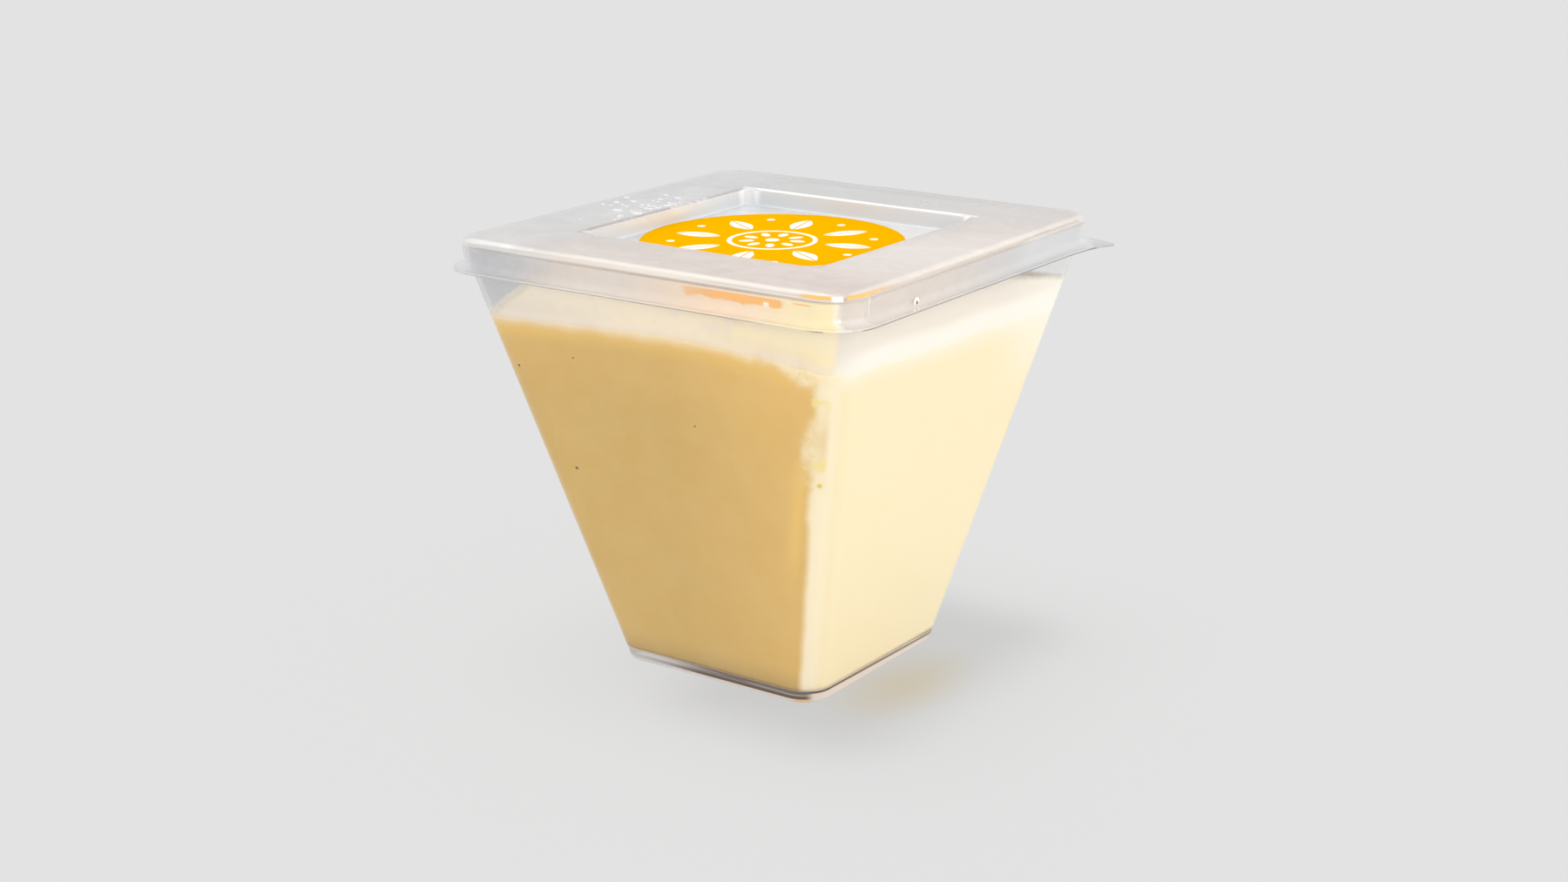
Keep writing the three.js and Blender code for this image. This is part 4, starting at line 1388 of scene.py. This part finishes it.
def add_camera(stage):
    """The photo's camera. Its axis passes the foot of the cup at the set offsets."""
    a, e = stage.azimuth, stage.elevation
    back = Vector((math.sin(a) * math.cos(e), -math.cos(a) * math.cos(e), math.sin(e)))
    level = Vector((math.cos(a), math.sin(a), 0))
    upright = back.cross(level)
    right = level * math.cos(stage.roll) + upright * math.sin(stage.roll)
    up = upright * math.cos(stage.roll) - level * math.sin(stage.roll)
    data = bpy.data.cameras.new("photo_camera")
    data.lens = stage.focal_length
    data.sensor_width = SENSOR_WIDTH
    data.clip_start = 10 * MM
    made = bpy.data.objects.new("photo_camera", data)
    turn = Matrix((right, up, back)).transposed().to_4x4()
    made.matrix_world = Matrix.Translation(back * stage.distance - right * stage.aside - up * stage.below) @ turn
    bpy.context.scene.collection.objects.link(made)
    bpy.context.scene.camera = made


def set_world(stage):
    """A dome of light, brighter towards the horizon. What is seen of it has the floor's tone, so that no horizon
    shows."""
    world = bpy.data.worlds.new("studio")
    world.use_nodes = True
    world.node_tree.nodes.clear()
    wire = Wire(world.node_tree)
    height = wire.node("ShaderNodeTexCoord", output="Generated").parts()[2].most(0.0)
    strength_there = ((1.0 - height) * stage.horizon + 1.0) * stage.dome
    light = wire.node("ShaderNodeBackground", {"Color": (*stage.floor_tone, 1.0), "Strength": strength_there})
    seen = wire.node("ShaderNodeBackground", {"Color": (*stage.floor_tone, 1.0), "Strength": 1.0})
    rays = ("Is Camera Ray", "Is Glossy Ray", "Is Transmission Ray")
    looked_at = sum(wire.node("ShaderNodeLightPath", output=ray) for ray in rays)
    looked_at.blend_shaders(light, seen).join_output("ShaderNodeOutputWorld")
    bpy.context.scene.world = world


class DESSERT_OT_build_stage(bpy.types.Operator):
    """Builds the floor, the lamps and the camera"""

    bl_idname = "dessert.build_stage"
    bl_label = "Build the stage"

    def execute(self, context):
        stage = context.scene.dessert_stage
        scene = context.scene
        half = FLOOR_SIDE / 2
        corners = np.array([(-half, -half, 0), (half, -half, 0), (half, half, 0), (-half, half, 0)])
        floor = new_piece("studio_floor", corners, [np.array([(0, 1, 2, 3)])], [floor_material(stage)])
        add_lamp("key_lamp", KEY_FROM, stage.key, stage.key_spread)
        side = add_lamp("side_lamp", SIDE_FROM, stage.side, stage.side_spread)
        shade = add_lamp("floor_lamp", SHADE_FROM, stage.shade, stage.shade_spread)
        for lamp, state in ((side, "EXCLUDE"), (shade, "INCLUDE")):
            linked = bpy.data.collections.new(lamp.name + "_floor")
            linked.objects.link(floor)
            lamp.light_linking.receiver_collection = linked
            linked.collection_objects[0].light_linking.link_state = state
        set_world(stage)
        add_camera(stage)
        scene.view_settings.view_transform = "Standard"
        scene.view_settings.look = "None"
        scene.cycles.use_denoising = True
        scene.cycles.max_bounces = 16
        scene.cycles.transmission_bounces = 12
        scene.cycles.transparent_max_bounces = 32
        scene.cycles.caustics_refractive = True
        return {"FINISHED"}


class DESSERT_PT_panel(bpy.types.Panel):
    """Lists the pieces of the dessert"""

    bl_idname = "DESSERT_PT_panel"
    bl_label = "Passion fruit ice cream"
    bl_space_type = "VIEW_3D"
    bl_region_type = "UI"
    bl_category = "Dessert"

    def draw(self, context):
        for operator in OPERATORS:
            self.layout.operator(operator.bl_idname)
        for name, group in SETTINGS.items():
            box = self.layout.box()
            box.label(text=name.replace("_", " ").capitalize())
            for field in group.__annotations__:
                box.prop(getattr(context.scene, name), field)


OPERATORS = (
    DESSERT_OT_build_stage,
    DESSERT_OT_build_cup,
    DESSERT_OT_build_ice_cream,
    DESSERT_OT_build_film,
    DESSERT_OT_build_lid,
    DESSERT_OT_build_sticker,
    DESSERT_OT_build_drops,
    DESSERT_OT_build_specks,
)


def register():
    """Registers the settings, the operators and the panel."""
    for name, group in SETTINGS.items():
        bpy.utils.register_class(group)
        setattr(bpy.types.Scene, name, bpy.props.PointerProperty(type=group))
    for shown in (*OPERATORS, DESSERT_PT_panel):
        bpy.utils.register_class(shown)


def unregister():
    """Takes back what register() added."""
    for shown in reversed((*OPERATORS, DESSERT_PT_panel)):
        bpy.utils.unregister_class(shown)
    for name, group in SETTINGS.items():
        delattr(bpy.types.Scene, name)
        bpy.utils.unregister_class(group)


def main():
    """Builds every piece in order."""
    register()
    for operator in OPERATORS:
        family, name = operator.bl_idname.split(".")
        getattr(getattr(bpy.ops, family), name)()


if __name__ == "__main__":
    main()
